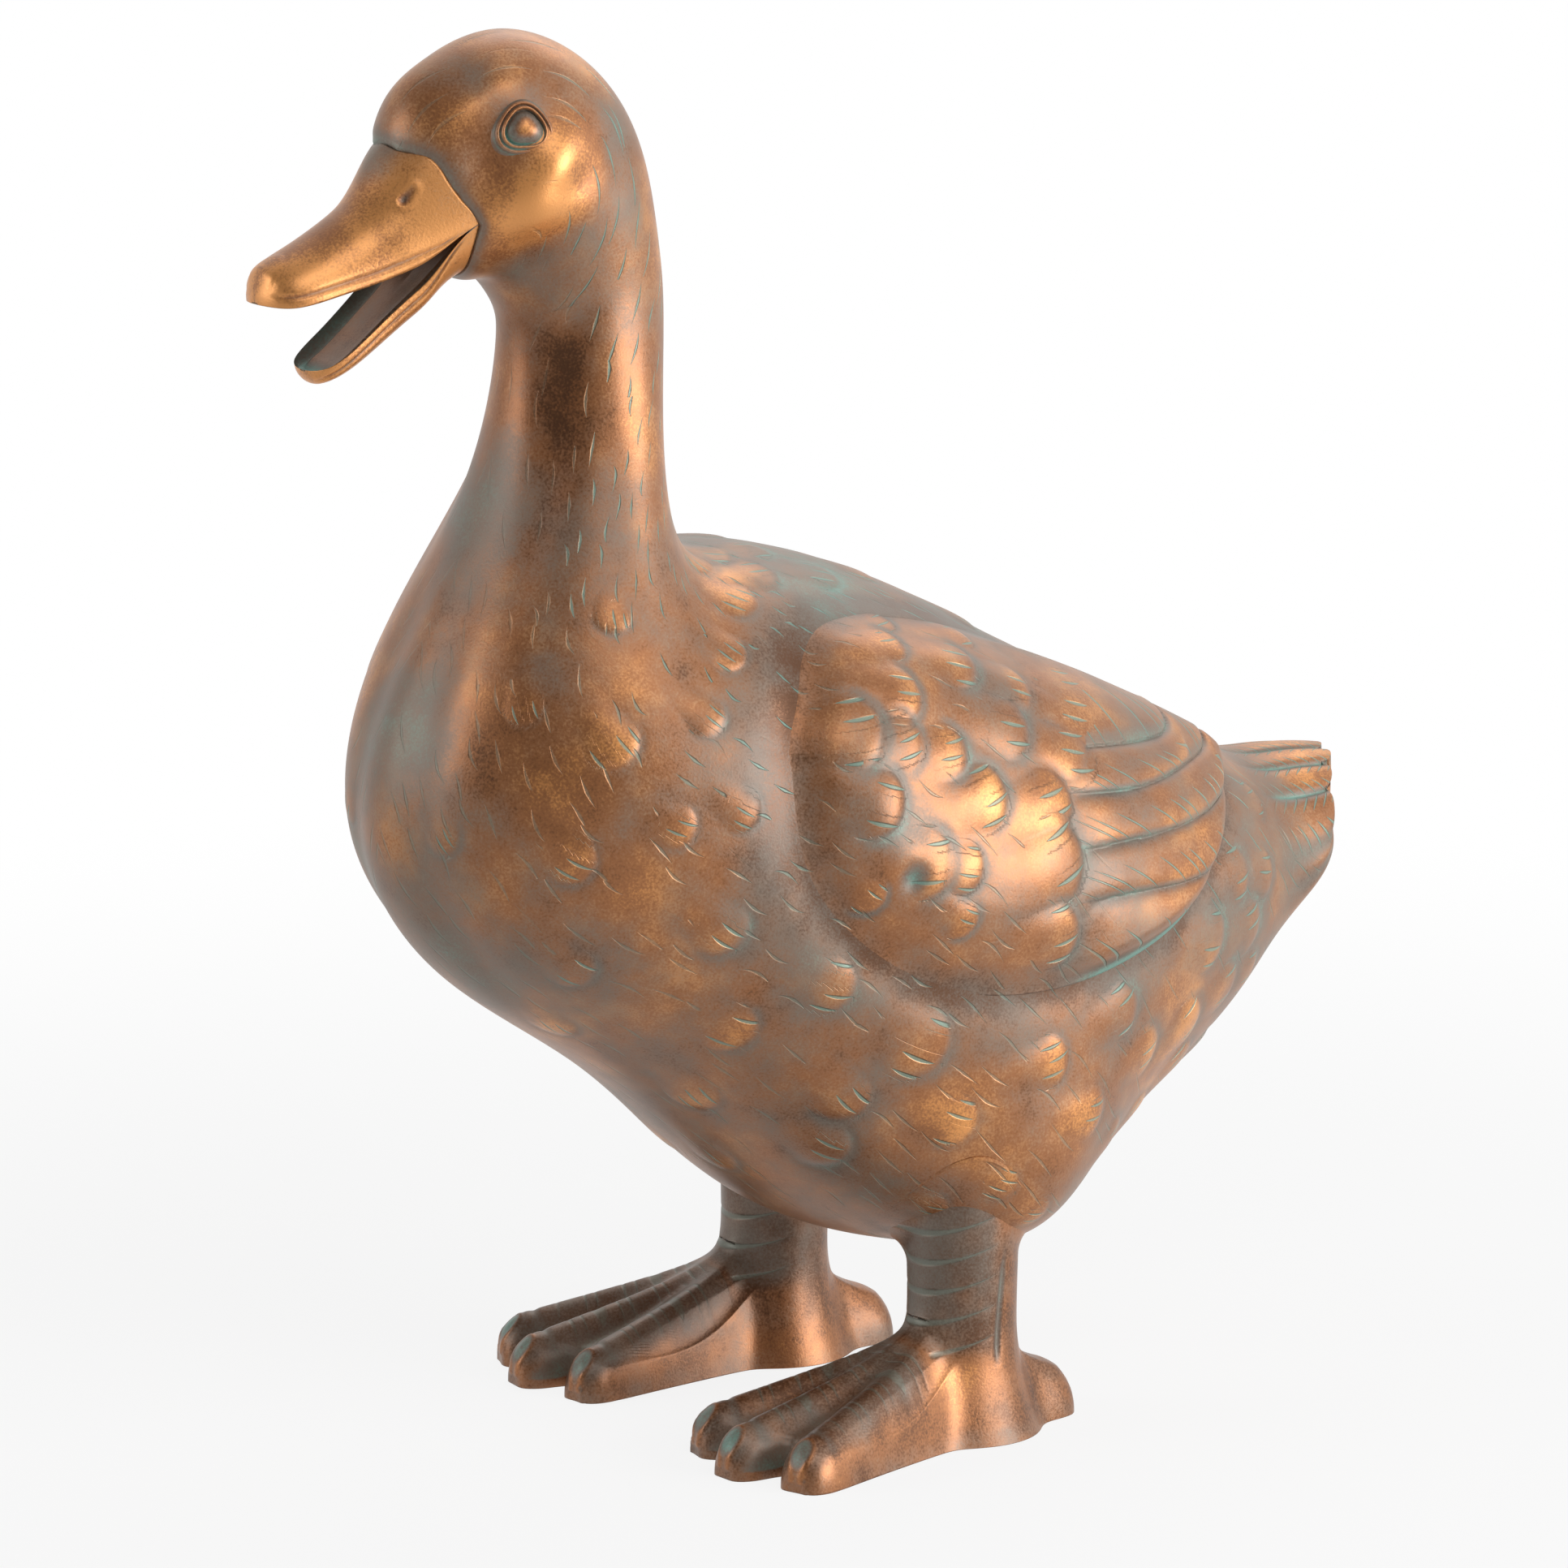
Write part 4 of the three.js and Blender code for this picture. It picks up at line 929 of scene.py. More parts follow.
BILL_HALVES = (
    ("upper_bill", UPPER_BILL, UPPER_BORDER, True, PALATE),
    ("lower_bill", LOWER_BILL, LOWER_BORDER, False, TROUGH),
)
for name, rows, border, arched, hollow in BILL_HALVES:
    s, angle, points, from_edge = bill_half(rows, border, arched, hollow)
    outside = angle <= np.pi
    open_part = smooth(1.0, 1.6, s) * smooth(5.8, 5.2, s)
    groove = bell(from_edge - EDGE_GROOVE, 0.8) * outside * open_part
    relief = -0.7 * groove
    hole = 0 * s
    haze = 0.8 * outside * smooth(2.3, 1.1, s) + 0.6 * groove - 0.25
    ridge = 0.8 * outside * bell(np.degrees(angle) - 90, 26)
    if arched:
        for sign in (1, -1):
            offset = points - NOSTRIL * np.array([sign, 1, 1])
            way = offset @ NOSTRIL_WAY
            beside = np.linalg.norm(offset - way[..., None] * NOSTRIL_WAY, axis=-1)
            slot = np.hypot(np.clip(np.abs(way) - 2, 0, None), beside)
            relief = relief + outside * (0.25 * bell(slot - 2.5, 1) - 2.0 * bell(slot, 1.2))
            haze = haze + 0.2 * bell(slot - 2, 1)
            hole = hole + bell(slot, 1.5)
        nail = smooth(9, 6.5, np.linalg.norm((points - NAIL) * [1.1, 0.9, 1], axis=-1))
        relief = relief + 0.25 * outside * nail * smooth(5.9, 5.5, s)
    else:
        tongue = ~outside * smooth(0.72, 0.55, np.abs(np.cos(angle))) * smooth(5.2, 4.6, s)
        relief = relief + 1.2 * tongue
        haze = haze + ~outside * (0.1 + 0.7 * smooth(4.6, 5.2, s) * smooth(0.9, 0.7, np.abs(np.cos(angle))))
    bill_normals = turned_normals(points)
    on_ridge = bill_normals[BILL_ROWS // 3, BILL_COLUMNS // 4]
    sign = 1 if on_ridge @ np.array([0, -0.3, 1 if arched else -1]) > 0 else -1
    outer = points + sign * bill_normals * relief[..., None]
    # Painted light and shade of the bill: its outside is painted lighter as a highlight, the inside of the
    # mouth and the nostrils are painted dark as shade, and the ridge is a little darker.
    shade = relief * 0.8 + np.where(outside, 0.9, -1.2) - ridge * arched - 2 * hole
    bill = put_mesh(
        name + "_skin",
        stacked(outer, outer[[0, -1]].mean(axis=1)),
        capped_faces(*s.shape),
        flat_data({"relief": shade, "haze": haze - hole}),
    )
    finished(bill, bronze, "aged_bronze", name)


# Eyes: a domed eyeball in a ring of lids, cast in resin as one small part on a stem that is glued into the
# head. The paint lies dark round the ball, and verdigris fills the groove between ball and lids.
EYE_STATION = 18.42
EYE_ANGLE = 70
EYE_RADIUS = 8.4
EYE_DOME = 3.2
EYEBALL = 0.64  # the ball's edge, against the radius
LIDS = ((0.73, 0.09, 1.7), (0.91, 0.09, 1.0))  # two folds of the lids: middle and half width, and height
EYE_LIFT = 1.1  # the part's place above the skin
EYE_SKIRT = 1.3  # the part goes on below the skin to this share of the radius
EYE_SLOPE = 9  # and falls by this much over a whole radius there
EYE_STEM = 4  # depth of its middle below the skin
EYE_ROWS = 96
EYE_COLUMNS = 144
CHEEK_BEND = 90  # twice the radius of the lids' own bend

rings = np.linspace(0, EYE_SKIRT, EYE_ROWS + 1)[1:]
rho, turn = np.meshgrid(rings, np.linspace(0, 2 * np.pi, EYE_COLUMNS + 1)[:-1], indexing="ij")
reach = EYE_RADIUS * rho * (1 + 0.05 * np.cos(2 * turn) - 0.08 * np.sin(3 * turn))
ball = EYE_DOME * np.clip(1 - (rho / EYEBALL) ** 2.2, 0, 1) ** 0.6
folds = [high * np.clip(1 - ((rho - middle) / half) ** 2, 0, 1) ** 0.7 for middle, half, high in LIDS]
height = np.maximum(ball, sum(folds) * (1 + 0.3 * np.sin(turn))) + EYE_LIFT
height = height - EYE_SLOPE * np.clip(rho - 1, 0, None) - reach**2 / CHEEK_BEND
seat, _, _ = place_on_skin(EYE_STATION, EYE_ANGLE)
step = 0.01
angle = np.radians(EYE_ANGLE)
forward = skin(EYE_STATION + step, angle) - seat
out = unit(np.cross(forward, skin(EYE_STATION, angle + step) - seat))
front = unit(np.cross(np.array([0, 0, 1]), out)) * -1
top = np.cross(out, front) * np.sign(np.cross(out, front)[2])
axes = np.stack([front, top, out])
points = seat + np.stack([reach * np.cos(turn), reach * np.sin(turn), height], -1) @ axes
eye_points = stacked(points, seat + (EYE_DOME + EYE_LIFT) * out, seat - EYE_STEM * out)
# The eyeball has a painted highlight in its middle and is darker round its rim; the raised lids are a little
# lighter.
eye_relief = 1.0 * bell(rho, 0.3) - 0.7 * bell(rho - 0.5, 0.14) + 0.35 * sum(folds)
below = smooth(0.4, -0.7, np.sin(turn))
eye_haze = (0.3 + 0.9 * below) * bell(rho - EYEBALL, 0.045) + (0.3 + 0.5 * below) * bell(rho - 0.82, 0.04)
eye_haze = 1.5 * eye_haze + 0.6 * bell(rho - 1.02, 0.06)
eye_data = flat_data({"relief": eye_relief, "haze": eye_haze})
for side, mirror in MIRRORS:
    eye = put_mesh("eyeball_" + side, eye_points * mirror, capped_faces(*rho.shape), eye_data)
    finished(eye, bronze, "dark_bronze", "eye_" + side)


# Wings: thick resin panels cast with their feathers, pegged and glued to the flanks. Rows of short rounded
# feathers cover the front half and overlap five long ones, which lie like shingles and are scored along
# their edges.
WING_ROWS = 304
WING_COLUMNS = 256
WING_ROOT = 3  # how far a panel goes into the body's wall
WING_RISE = 7  # how far its middle stands out
WING_ROUND = (30, 10)  # how far in from the outline it is reached, in front and at the tip
WING_EDGE = (-1.3, 0.8)  # height of the outline above the skin, in front and at the tip
COVERT_RISE = 2.0  # how far the field of short feathers stands above the long ones
TIP_RIM = 7  # how far in from the outline the feathers reach their height
COVERT_RIM = 14  # and the field of short ones
SHINGLE = (1.5, 1.0)  # a long feather's crown, and how far its lower edge stands above its upper one
WING_LENGTH = 190
FEATHER_STROKE = 4.3  # between strokes on a long feather
# Short feathers: along and across the wing, half width and height
WING_TIPS = (
    (0.34, 0.17, 8, 1.2), (0.43, 0.23, 10.5, 1.5), (0.32, 0.33, 10, 1.5), (0.21, 0.45, 12.5, 1.6),
    (0.31, 0.46, 9.5, 1.2), (0.38, 0.47, 9, 1.2), (0.47, 0.4, 11, 1.6), (0.5, 0.29, 9.5, 1.5),
    (0.26, 0.63, 11, 1.8), (0.42, 0.57, 10.5, 1.8), (0.34, 0.73, 11, 1.2), (0.39, 0.72, 8, 1.1),
    (0.39, 0.83, 6.5, 1), (0.27, 0.87, 6.5, 0.9), (0.36, 0.06, 8, 0.9), (0.47, 0.1, 9, 1.1),
    (0.59, 0.2, 10.5, 1.6), (0.57, 0.34, 11, 1.8), (0.55, 0.46, 11, 1.8), (0.5, 0.59, 12, 1.8),
    (0.5, 0.71, 13.5, 2.1), (0.5, 0.87, 10.5, 1.6),
)
# Lower edges of the long feathers: along and across the wing, ending at the rounded tip
FEATHER_EDGES = (
    ((0.45, 0.46), (0.59, 0.44), (0.72, 0.4), (0.77, 0.35), (0.79, 0.25), (0.8, 0)),
    ((0.45, 0.56), (0.55, 0.56), (0.68, 0.55), (0.82, 0.48), (0.87, 0.42), (0.89, 0.3), (0.9, 0)),
    ((0.45, 0.7), (0.53, 0.69), (0.69, 0.69), (0.88, 0.7), (0.94, 0.65), (0.96, 0.5), (0.97, 0)),
    ((0.45, 0.82), (0.52, 0.81), (0.64, 0.82), (0.82, 0.9), (0.93, 0.94), (0.97, 0.9), (1, 0.6)),
)
PIT = (0.33, 0.77)  # a dent among the short feathers: along and across the wing
PIT_RADIUS = 4
PIT_DEPTH = 2.0


def wing_place(along, across):
    """Station and angle of a place on the wing: so far across, between its upper and lower edges there."""
    upper, lower = wing_upper(along * WING_SPANS), wing_lower(along * WING_SPANS)
    t, degrees = np.moveaxis(upper + (lower - upper) * np.asarray(across)[..., None], -1, 0)
    return t, np.radians(degrees)


def place_on_wing(along, across):
    """A place on the skin under the wing, the way to the wing's tip there and the way across it."""
    step = 0.005
    seat = skin(*wing_place(np.array(along), across))
    heading = unit(skin(*wing_place(np.array(along + step), across)) - seat)
    normal = unit(np.cross(heading, skin(*wing_place(np.array(along), across - step)) - seat))
    return seat, heading, np.cross(normal, heading)


shares = [np.linspace(0, 1, count + 1) for count in (WING_ROWS, WING_COLUMNS)]
along, across = np.meshgrid(*shares, indexing="ij")
T, A = wing_place(along, across)
base = skin(T, A)
from_outline = distance_to(base, wing_outline())
rest = smooth(0.4, 0.7, along)
pillow = (1 - rest) * smooth(0, WING_ROUND[0], from_outline) + rest * smooth(0, WING_ROUND[1], from_outline)
tips, moats, tip_quill = feather_tips(base, WING_TIPS, place_on_wing)
edges = [np.zeros(WING_ROWS + 1)]
for edge in FEATHER_EDGES:
    edges.append(np.interp(along[:, 0], *curve_through(edge)(np.linspace(0, len(edge) - 1, 120)).T))
edges.append(np.ones(WING_ROWS + 1))
edges = np.maximum.accumulate(np.array(edges), axis=0)
feathers = np.zeros(along.shape)
rank = np.zeros(along.shape)
for upper, lower in zip(edges[:-1, :, None], edges[1:, :, None]):
    within = (across >= upper) & (across <= lower) & (lower > upper)
    q = np.clip((across - upper) / np.maximum(lower - upper, 1e-6), 0, 1)
    shingle = SHINGLE[0] * (1 - np.abs(2 * q - 1) ** 3) + SHINGLE[1] * q
    feathers = np.where(within, shingle, feathers)
    rank = np.where(within, q, rank)
long_part = smooth(0.5, 0.6, along)
short_part = COVERT_RISE * smooth(0.6, 0.42, along)
pit_seat, _, _ = place_on_wing(*PIT)
pit = bell(np.linalg.norm(base - pit_seat, axis=-1), PIT_RADIUS)
rim = smooth(0, TIP_RIM, from_outline)
short_field = rim * tips + smooth(0, COVERT_RIM, from_outline) * short_part
relief = np.maximum(short_field, rim * long_part * feathers) - PIT_DEPTH * pit
edge_height = WING_EDGE[0] + (WING_EDGE[1] - WING_EDGE[0]) * rest
edge_height = edge_height - front_dip(T, A) * smooth(16, 4, from_outline)
thinner_above = 0.4 + 0.6 * smooth(0, 0.35, across)
height = edge_height + WING_RISE * pillow * thinner_above + relief
surface = raised(base, -height)
width = np.linalg.norm(skin(T[:, -1], A[:, -1]) - skin(T[:, 0], A[:, 0]), axis=-1)[:, None]
strokes = (along * WING_LENGTH - rank * width * 0.22) / FEATHER_STROKE
kept = np.sin(2.4 * np.round(strokes)) > -0.1
long_quill = np.stack([strokes, (rank - 0.72) / 0.3, long_part * kept * (tips < 0.2) * rim], -1)
seams = smooth(0.86, 0.98, rank) * long_part * (tips < 0.2)
# Painted shade along the wing's outline, where it rises from the body: the paint is darker there, with less
# haze in front; towards the tip more haze lies in the edge.
edge_haze_and_shade = (0.6 * rest - 0.4) * bell(from_outline, 7)
moat_haze = 0.45 * moats * short_part / COVERT_RISE
wing_haze = edge_haze_and_shade + 0.4 * pit + 0.1 * long_part + 0.6 * seams + moat_haze
wing_data = {
    "relief": (relief - blurred(relief, TIP_BLUR)) / 1.1 - 0.7 * bell(from_outline, 8),
    "haze": wing_haze,
    "quill": np.where(tip_quill[..., 2:] > 0, tip_quill, long_quill),
    "plume": plume_of(T, A, 0.35 * (1 - long_part) * (tips < 0.4)),
}
inner = skin(T[::COARSE, ::COARSE], A[::COARSE, ::COARSE], -WING_ROOT)
wing_points = stacked(surface, inner)
wing_faces = wall_faces(surface.shape[:2], inner.shape[:2])
wing_data = flat_data(wing_data)
for side, mirror in MIRRORS:
    wing = put_mesh("wing_panel_" + side, wing_points * mirror, wing_faces, wing_data)
    finished(wing, bronze, "aged_bronze", "wing_" + side)


# Legs: each cast in solid resin in one piece with its foot, and drawn up against the belly by the rod inside.
# A round shank with scored bands stands on three webbed toes and a hind toe, on a flat sole.
LEG_AXIS = np.array([54, 31, 0])
LEG_RADIUS = 15.5
LEG_TAPER = 2 / 64  # growth of the radius with height
ANKLE_SPREAD = 9  # growth of the radius at the sole
ANKLE_HEIGHT = 38
LEG_SUNK = 1.5  # how far the shank goes into the belly
SHANK_FOOT = 38  # height from which the shank is worked out level by level
SHANK_ROWS = 64
FLARE = (8, 11)  # growth of the radius where the shank meets the belly, and over what height
TOE_SPLAY = 5  # degrees by which a foot is turned out
TOE_SPREAD = 17  # degrees between toes
TOES = ((-TOE_SPREAD, 88, 17), (0, 93, 17), (TOE_SPREAD, 89, 18))  # degrees, reach and width
TOE_TIP_HEIGHT = 14
TOE_ROOT = 35  # height of a toe at the shank's axis
TOE_BACK = 8  # how far behind the axis it begins
HIND_TOE = (180, 40, 22)
HIND_ROOT = 24
HIND_HEIGHT = 15
TOE_SQUARE = (1.8, 2.3)  # powers of the distances across and up in a toe's arch
WEB_FALL = 90  # the web's top falls like that of a toe of this reach
WEB_DROP = 8  # and lies this much lower
WEB_REACH = (72, 9)  # to the middle of a bay, and how much further at the toes
SIDE_ENDS = ((82, 6.5), (35, 8))  # ends of a straight side: along and across an outer toe and the hind toe
SIDE_REACH = (68, 28)  # how far the straight sides are filled towards the toes' ends and the hind toe's
SIDE_FADE = 0.3  # how quickly they end there
SIDE_SLOPE = (7, 22, 30)  # their height, what is added at the shank, and within what distance
BLEND = 2  # how softly the parts of a foot run together
WALL_LEAN = 0.3  # how far the foot's straight sides lean in, for each unit of height
BELLY_SAMPLE = 4  # how near to a place the skin counts for its height
BAND_PITCH = 9.5  # between bands on the shank
BAND_FRONT = np.radians(10)  # how far the front that has the bands is turned out
NOTCH_PITCH = 6  # between notches on the toes
TOENAIL = (3, 3.6)  # its middle's distance from the toe's end, and its radius
FOOT_FAN = 42  # degrees each side of the middle toe that have finer columns
LEG_REACH = 130
RAY_STEP = 2  # the surface of a leg is looked for in such steps out from the axis
RAY_HALVINGS = 22  # and then by halving the last one


def toe_frame(points, degrees):
    """Distances along and across a toe."""
    way = np.radians(degrees + TOE_SPLAY)
    x, y = points[..., 0], points[..., 1]
    return x * np.sin(way) - y * np.cos(way), x * np.cos(way) + y * np.sin(way)


def toe_spot(degrees, along, across):
    """The place on the ground so far along and across a toe."""
    way = np.radians(degrees + TOE_SPLAY)
    return np.array([along * np.sin(way) + across * np.cos(way), across * np.sin(way) - along * np.cos(way)])


def beyond_side(points, sign):
    """How far a point lies outside the foot's straight side, from a toe's end to the hind toe's."""
    (toe_along, toe_across), (hind_along, hind_across) = SIDE_ENDS
    front = toe_spot(sign * TOE_SPREAD, toe_along, sign * toe_across)
    way = unit(toe_spot(HIND_TOE[0], hind_along, -sign * hind_across) - front)
    off = points[..., :2] - front
    return sign * (off[..., 1] * -way[0] + off[..., 0] * way[1]) + WALL_LEAN * points[..., 2]


def toe_field(points, toe, root, tip):
    """Below 0 inside a toe: an arch across it, whose height falls along it and which is blunt at its end."""
    degrees, reach, width = toe
    along, across = toe_frame(points, degrees)
    into_tip = np.clip(1 - (reach - along) / (width / 2), 0, 1)
    blunt = 0.4 + 0.6 * np.sqrt(1 - into_tip**2)
    tall = (tip + (root - tip) * np.clip(1 - along / reach, 0, 1)) * blunt
    half = width / 2 * blunt
    arch = np.abs(across / half) ** TOE_SQUARE[0] + (np.clip(points[..., 2], 0, None) / tall) ** TOE_SQUARE[1]
    return np.maximum.reduce([(np.sqrt(arch) - 1) * half, along - reach, -along - TOE_BACK])


def leg_field(points):
    """Below 0 inside a leg: shank, toes, web and straight sides, run together by a soft minimum."""
    x, y, z = np.moveaxis(points, -1, 0)
    rho = np.hypot(x, y)
    belly = np.interp(np.arctan2(x, -y), around, belly_round, period=2 * np.pi)
    spread = ANKLE_SPREAD * np.clip(1 - z / ANKLE_HEIGHT, 0, None) ** 2
    rise = np.clip((z - belly) / FLARE[1] + 1, 0, 1)
    flare = FLARE[0] * (1 - np.sqrt(1 - rise**2))
    shank = rho - (LEG_RADIUS + LEG_TAPER * z + spread + flare)
    way = np.degrees(np.arctan2(x, -y)) - TOE_SPLAY
    bay = TOE_SPREAD / 2
    from_bay = np.clip(np.abs(np.abs(way) - bay) / bay, 0, 2)
    front = WEB_REACH[0] + WEB_REACH[1] * from_bay**2
    top = TOE_TIP_HEIGHT + (TOE_ROOT - TOE_TIP_HEIGHT) * (1 - rho / WEB_FALL) - WEB_DROP
    web = np.maximum.reduce([z - top, rho - front, (np.abs(way) - TOE_SPREAD) * rho / np.degrees(1)])
    slope = SIDE_SLOPE[0] + SIDE_SLOPE[1] * bell(rho, SIDE_SLOPE[2])
    ahead = SIDE_FADE * (rho - SIDE_REACH[0])
    behind = SIDE_FADE * (toe_frame(points, HIND_TOE[0])[0] - SIDE_REACH[1])
    sides = np.maximum.reduce([beyond_side(points, 1), beyond_side(points, -1), z - slope, ahead, behind])
    parts = [shank, web, sides, toe_field(points, HIND_TOE, HIND_ROOT, HIND_HEIGHT)]
    parts += [toe_field(points, toe, TOE_ROOT, TOE_TIP_HEIGHT) for toe in TOES]
    return -BLEND * np.log(sum(np.exp(-np.clip(part, -60, 60) / BLEND) for part in parts))


def belly_over(x, y):
    """The belly's height over a place: that of the plane that fits the skin nearby, weighted by a bell
    curve."""
    weight = bell(np.hypot(under[:, 0] - x, under[:, 1] - y), BELLY_SAMPLE)[:, None]
    terms = np.stack([np.ones(len(under)), under[:, 0] - x, under[:, 1] - y], -1)
    return np.linalg.lstsq(terms * weight, under[:, 2] * weight[:, 0], rcond=None)[0][0]


belly = np.meshgrid(np.linspace(5, 10, 160), np.linspace(1.6, np.pi, 160), indexing="ij")
under = skin(*belly).reshape(-1, 3) - LEG_AXIS
under = under[np.hypot(*under[:, :2].T) < 2.2 * LEG_RADIUS]
front_columns = np.linspace(-FOOT_FAN, FOOT_FAN, 221)[:-1]
other_columns = np.linspace(FOOT_FAN, 360 - FOOT_FAN, 141)[:-1]
around = np.radians(np.concatenate([front_columns, other_columns]) + TOE_SPLAY)
# Rays from the axis at the sole, up to the toes' ends, along their tops and up the ankle, then level ones
middle_reach = TOES[1][1]
toe_way = np.linspace(middle_reach - 5, LEG_RADIUS + 2, 110)
toe_top = (TOE_TIP_HEIGHT + (TOE_ROOT - TOE_TIP_HEIGHT) * (1 - toe_way / middle_reach)) / toe_way
ankle_top = np.linspace(toe_top[-1], 2.1, 7)[1:]
climb = np.arctan(np.concatenate([np.linspace(0, toe_top[0], 24)[:-1], toe_top, ankle_top]))
CLIMB, AROUND = np.meshgrid(np.concatenate([climb, np.zeros(SHANK_ROWS)]), around, indexing="ij")
rays = np.stack([np.cos(CLIMB) * np.sin(AROUND), -np.cos(CLIMB) * np.cos(AROUND), np.sin(CLIMB)], -1)
collar = LEG_RADIUS + LEG_TAPER * 60 + FLARE[0]
belly_round = np.array([belly_over(collar * np.sin(way), -collar * np.cos(way)) for way in around])
shank_share = np.sin(np.linspace(0, np.pi / 2, SHANK_ROWS))[:, None]
origins = np.zeros(rays.shape)
origins[-SHANK_ROWS:, :, 2] = SHANK_FOOT + (belly_round + LEG_SUNK - SHANK_FOOT) * shank_share
near = np.zeros(CLIMB.shape)
for reach in range(RAY_STEP, LEG_REACH + 1, RAY_STEP):
    near = np.where(leg_field(origins + rays * reach) < 0, reach, near)
far = near + RAY_STEP
for _ in range(RAY_HALVINGS):
    middle = (near + far) / 2
    within = leg_field(origins + rays * middle[..., None]) < 0
    near, far = np.where(within, middle, near), np.where(within, far, middle)
points = origins + rays * near[..., None]
leg_normals = -turned_normals(points)
x, y, z = np.moveaxis(points, -1, 0)
rho = np.hypot(x, y)
on_shank = smooth(26, 21, rho) * smooth(22, 30, z)
way = np.arctan2(x, -y)
facing = smooth(-0.1, 0.35, np.cos(way - BAND_FRONT))
bands = z / BAND_PITCH + 0.6 * np.cos(way)
relief = -0.2 * bell(np.mod(bands, 1) - 0.5, 0.07) * on_shank * facing
quill = np.stack([bands + 0.5, np.sin(way - BAND_FRONT) * 0.95, on_shank * facing * 0.3], -1)
side_groove = on_shank * bell(np.degrees(way) - 88 - 0.3 * z, 3.5) * smooth(62, 50, z)
relief = relief - 0.9 * side_groove
web_haze = nails = 0
for degrees, reach, width in TOES:
    u, v = toe_frame(points, degrees)
    on_toe = smooth(width / 2, width / 2 - 3, np.abs(v)) * smooth(22, 30, u) * (z > 3)
    notches = smooth(reach - 16, reach - 20, u) * on_toe
    count = u / NOTCH_PITCH + 0.3 * np.sin(0.45 * u + degrees)
    relief = relief - 0.15 * bell(np.mod(count, 1) - 0.5, 0.1) * notches
    relief = relief - 0.4 * bell(u - reach + 11, 1.3) * on_toe
    from_nail = np.hypot((u - reach + TOENAIL[0]) / TOENAIL[1], v / TOENAIL[1])
    relief = relief + 0.4 * bell(from_nail - 1, 0.18) * (z > 3)
    nails = np.maximum(nails, smooth(1.0, 0.7, from_nail) * (z > 3))
    strokes = np.stack([count + 0.5, v / (width * 0.34), 0.2 * notches], -1)
    quill = np.where((notches > 0.05)[..., None], strokes, quill)
    web_haze = np.maximum(web_haze, on_toe)
# Painted dark reflection: the toes' upper faces and the shank's front are painted darker, as where they
# mirror the dim room.
painted_dark_reflection = np.maximum(web_haze * smooth(0.1, 0.5, leg_normals[..., 2]), on_shank * (0.3 + 0.7 * facing))
web_haze = (1 - web_haze) * smooth(22, 30, rho) * (np.abs(np.degrees(way) - TOE_SPLAY) < 20) * (z > 3)
foot = points + leg_normals * relief[..., None] + LEG_AXIS
leg_points = stacked(foot, LEG_AXIS, foot[-1].mean(axis=0))
leg_haze = 0.8 * web_haze + 0.7 * nails - 0.5 * smooth(0, 14, belly_round - z) + 0.2 * smooth(8, 2, z)
# Below the belly the whole leg is painted darker, and most on the toes' upper faces and the shank's front.
leg_relief = relief * 1.2 - (0.4 + 0.6 * painted_dark_reflection) * smooth(0, 14, belly_round - z)
leg_data = flat_data({"relief": leg_relief, "haze": leg_haze, "quill": quill})
for side, mirror in MIRRORS:
    leg = put_mesh("leg_and_foot_" + side, leg_points * mirror, capped_faces(*z.shape), leg_data)
    finished(leg, bronze, "aged_bronze", "leg_" + side)


# Studio: a white floor under a white surround, which mirrors as a bright wall behind the duck and a dim room
# behind the camera. A large soft lamp stands to the camera's right, and weaker ones to its left, above it
# and behind the duck. Distances here are in metres.
AZIMUTH = np.radians(57.4)  # of the camera, from the bill's side towards the duck's left
ELEVATION = np.radians(12.1)
DISTANCE = 2.868
LENS = 212.74  # millimetres, for a picture 36 wide
TARGET = np.array([0, -0.009, 0.1982])
SURROUND_LEVEL = 0.26  # of the light that the surround sheds on matt paint
FLOOR_HALF = 12
FLOOR_TONE = 0.65


def bearing(azimuth, elevation):
    """The direction from the duck towards a place."""
    flat = np.cos(elevation)
    return np.array([np.sin(azimuth) * flat, -np.cos(azimuth) * flat, np.sin(elevation)])


def softbox(name, turn, elevation, distance, size, watts):
    """A lamp that faces the duck, so many degrees to the camera's right and above the floor."""
    lamp = bpy.data.lights.new(name, "AREA")
    lamp.shape = "RECTANGLE"
    lamp.size, lamp.size_y = size
    lamp.energy = watts
    towards = Vector(bearing(AZIMUTH + np.radians(turn), np.radians(elevation)))
    stand = bpy.data.objects.new(name, lamp)
    stand.location = Vector(TARGET) + towards * distance
    stand.rotation_euler = towards.to_track_quat("Z", "Y").to_euler()
    bpy.context.scene.collection.objects.link(stand)


back = bearing(AZIMUTH, ELEVATION)
right = np.array([np.cos(AZIMUTH), np.sin(AZIMUTH), 0])
camera = bpy.data.objects.new("camera", bpy.data.cameras.new("camera"))
camera.data.lens = LENS
camera.data.sensor_width = 36
camera.data.clip_end = 100
axes = np.stack([right, np.cross(back, right), back, TARGET + back * DISTANCE], -1)
camera.matrix_world = Matrix([*axes.tolist(), [0, 0, 0, 1]])
bpy.context.scene.collection.objects.link(camera)
bpy.context.scene.camera = camera

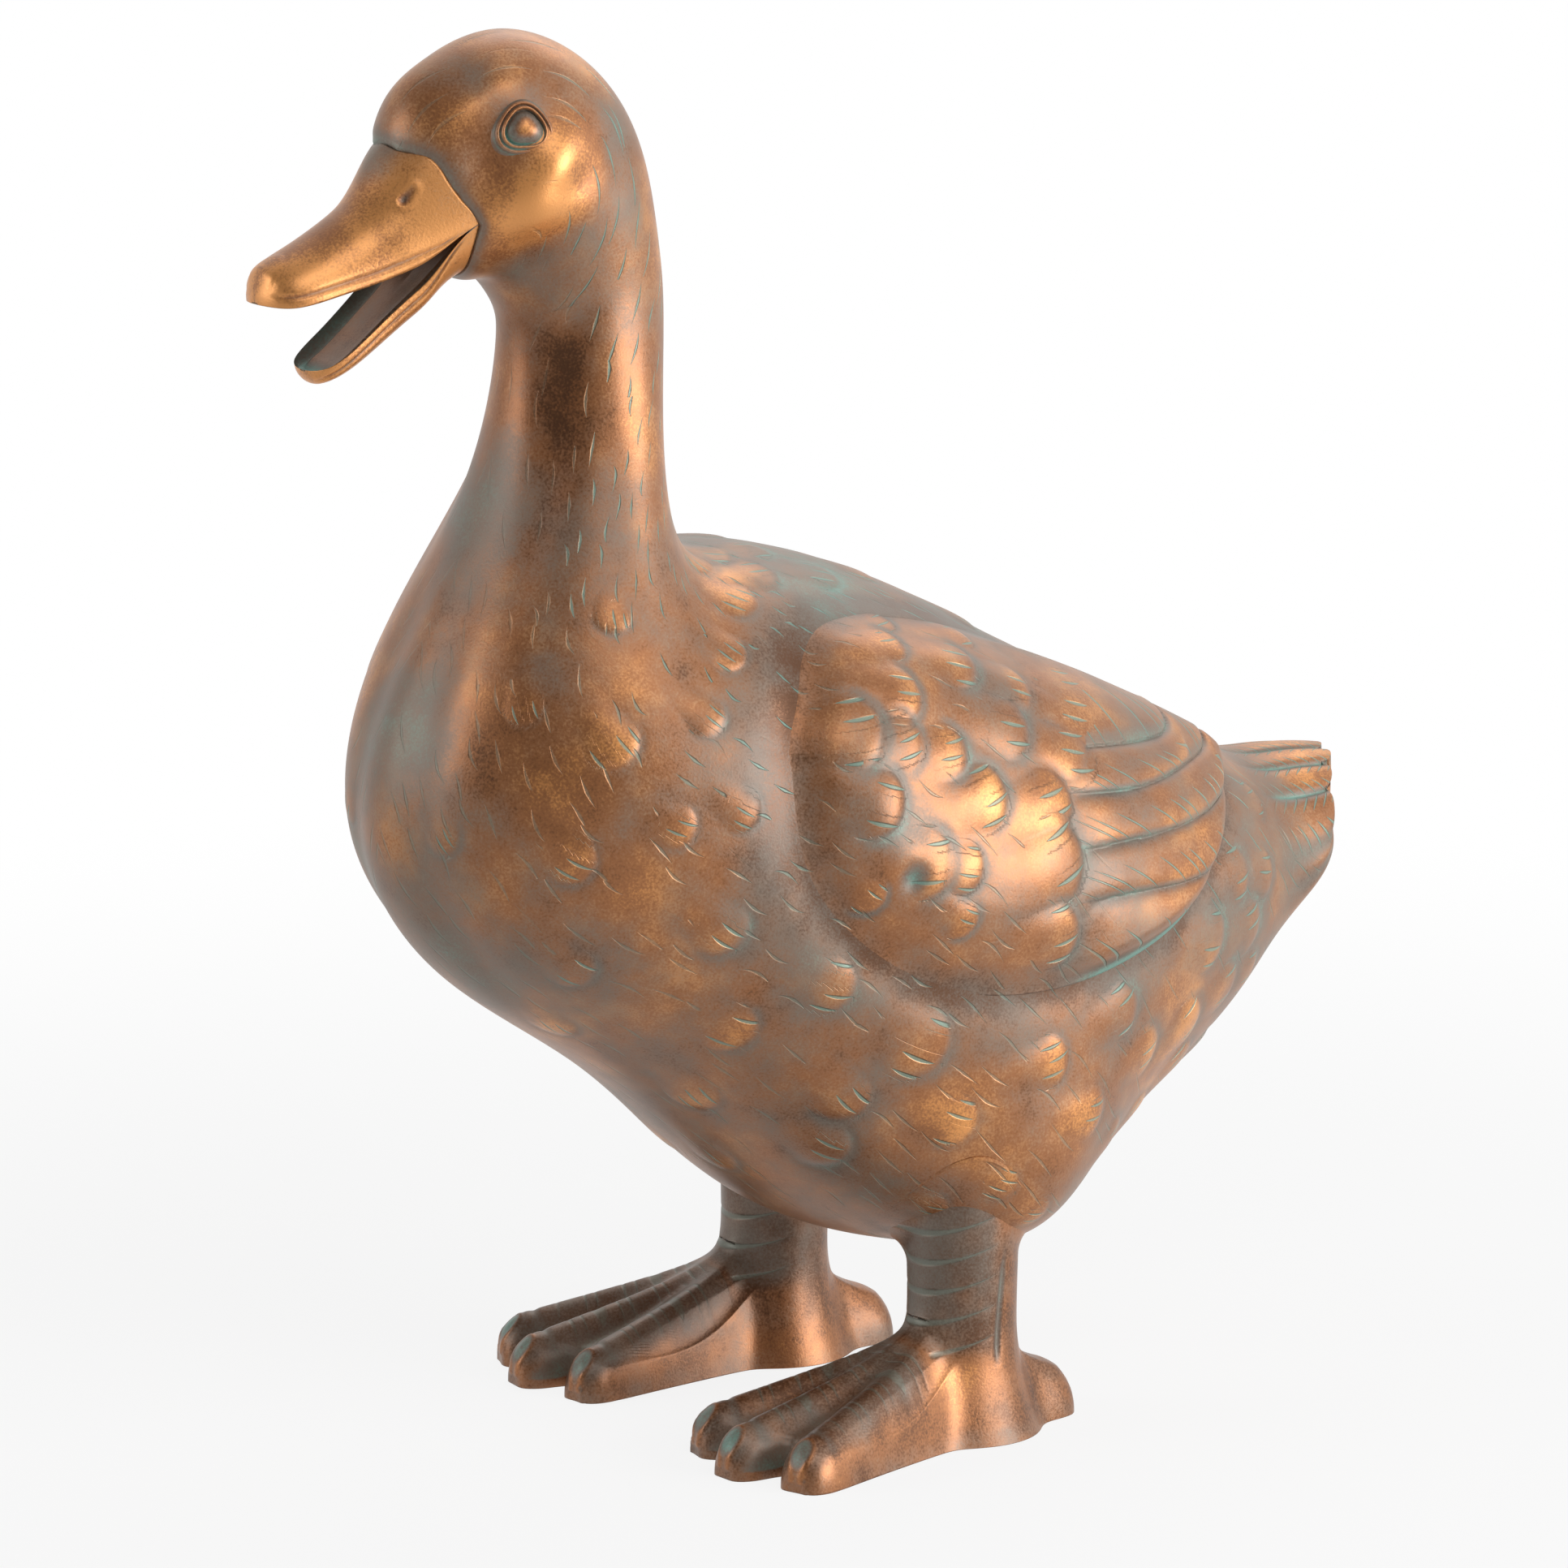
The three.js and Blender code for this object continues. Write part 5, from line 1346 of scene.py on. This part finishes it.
softbox("key", 66, 9, 1.8, (1.4, 1.0), 31)
softbox("fill", -80, 16, 2.2, (1.2, 1.2), 15)
softbox("back", 165, 48, 2.0, (1.6, 1.2), 10)
softbox("top", 25, 48, 1.9, (1.2, 1.0), 9)

world = bpy.data.worlds.new("surround")
at = empty_tree(world)
look = at.make("TexCoord", out="Generated")
room = bearing(AZIMUTH - np.radians(30), np.radians(8)).tolist()
mirrored = at.vector_maths("DOT_PRODUCT", look, room).step(0.75, -0.6) * 0.88 + 0.12
glossy = at.ray("Glossy")
level = glossy * mirrored + (1 - glossy) * SURROUND_LEVEL
level = level.most(at.ray("Camera").most(at.ray("Transmission")))
surround = at.make("Background", sockets={"Color": (1, 1, 1, 1), "Strength": level})
at.make("OutputWorld", sockets={"Surface": surround})
bpy.context.scene.world = world

floor_mesh = bpy.data.meshes.new("floor")
corners = [(-1, -1), (1, -1), (1, 1), (-1, 1)]
floor_mesh.from_pydata([(FLOOR_HALF * x, FLOOR_HALF * y, 0) for x, y in corners], [], [(0, 1, 2, 3)])
floor = bpy.data.objects.new("floor", floor_mesh)
bpy.context.scene.collection.objects.link(floor)
paper = bpy.data.materials.new("paper")
at = empty_tree(paper)
place = at.make("TexCoord", out="Object")
from_middle = at.vector_maths("LENGTH", place)
grey = (FLOOR_TONE, FLOOR_TONE, FLOOR_TONE, 1)
lit = at.make("BsdfPrincipled", sockets={"Base Color": grey, "Roughness": 0.9, "Specular IOR Level": 0.0})
white = at.make("Emission", sockets={"Color": (1, 1, 1, 1), "Strength": 1.0})
mirrored = at.vector_maths("DOT_PRODUCT", place, room).step(0.5, -0.1) * 0.7 + 0.2
in_view = at.ray("Camera") * (from_middle.step(0.3, 0.9) * 0.14 + 0.86)
seen = in_view.most(at.ray("Glossy") * mirrored).most(at.ray("Transmission"))
sheet = at.make("MixShader", sockets={0: seen, 1: lit, 2: white})
at.make("OutputMaterial", sockets={"Surface": sheet})
floor_mesh.materials.append(paper)

bpy.context.scene.view_settings.view_transform = "Standard"
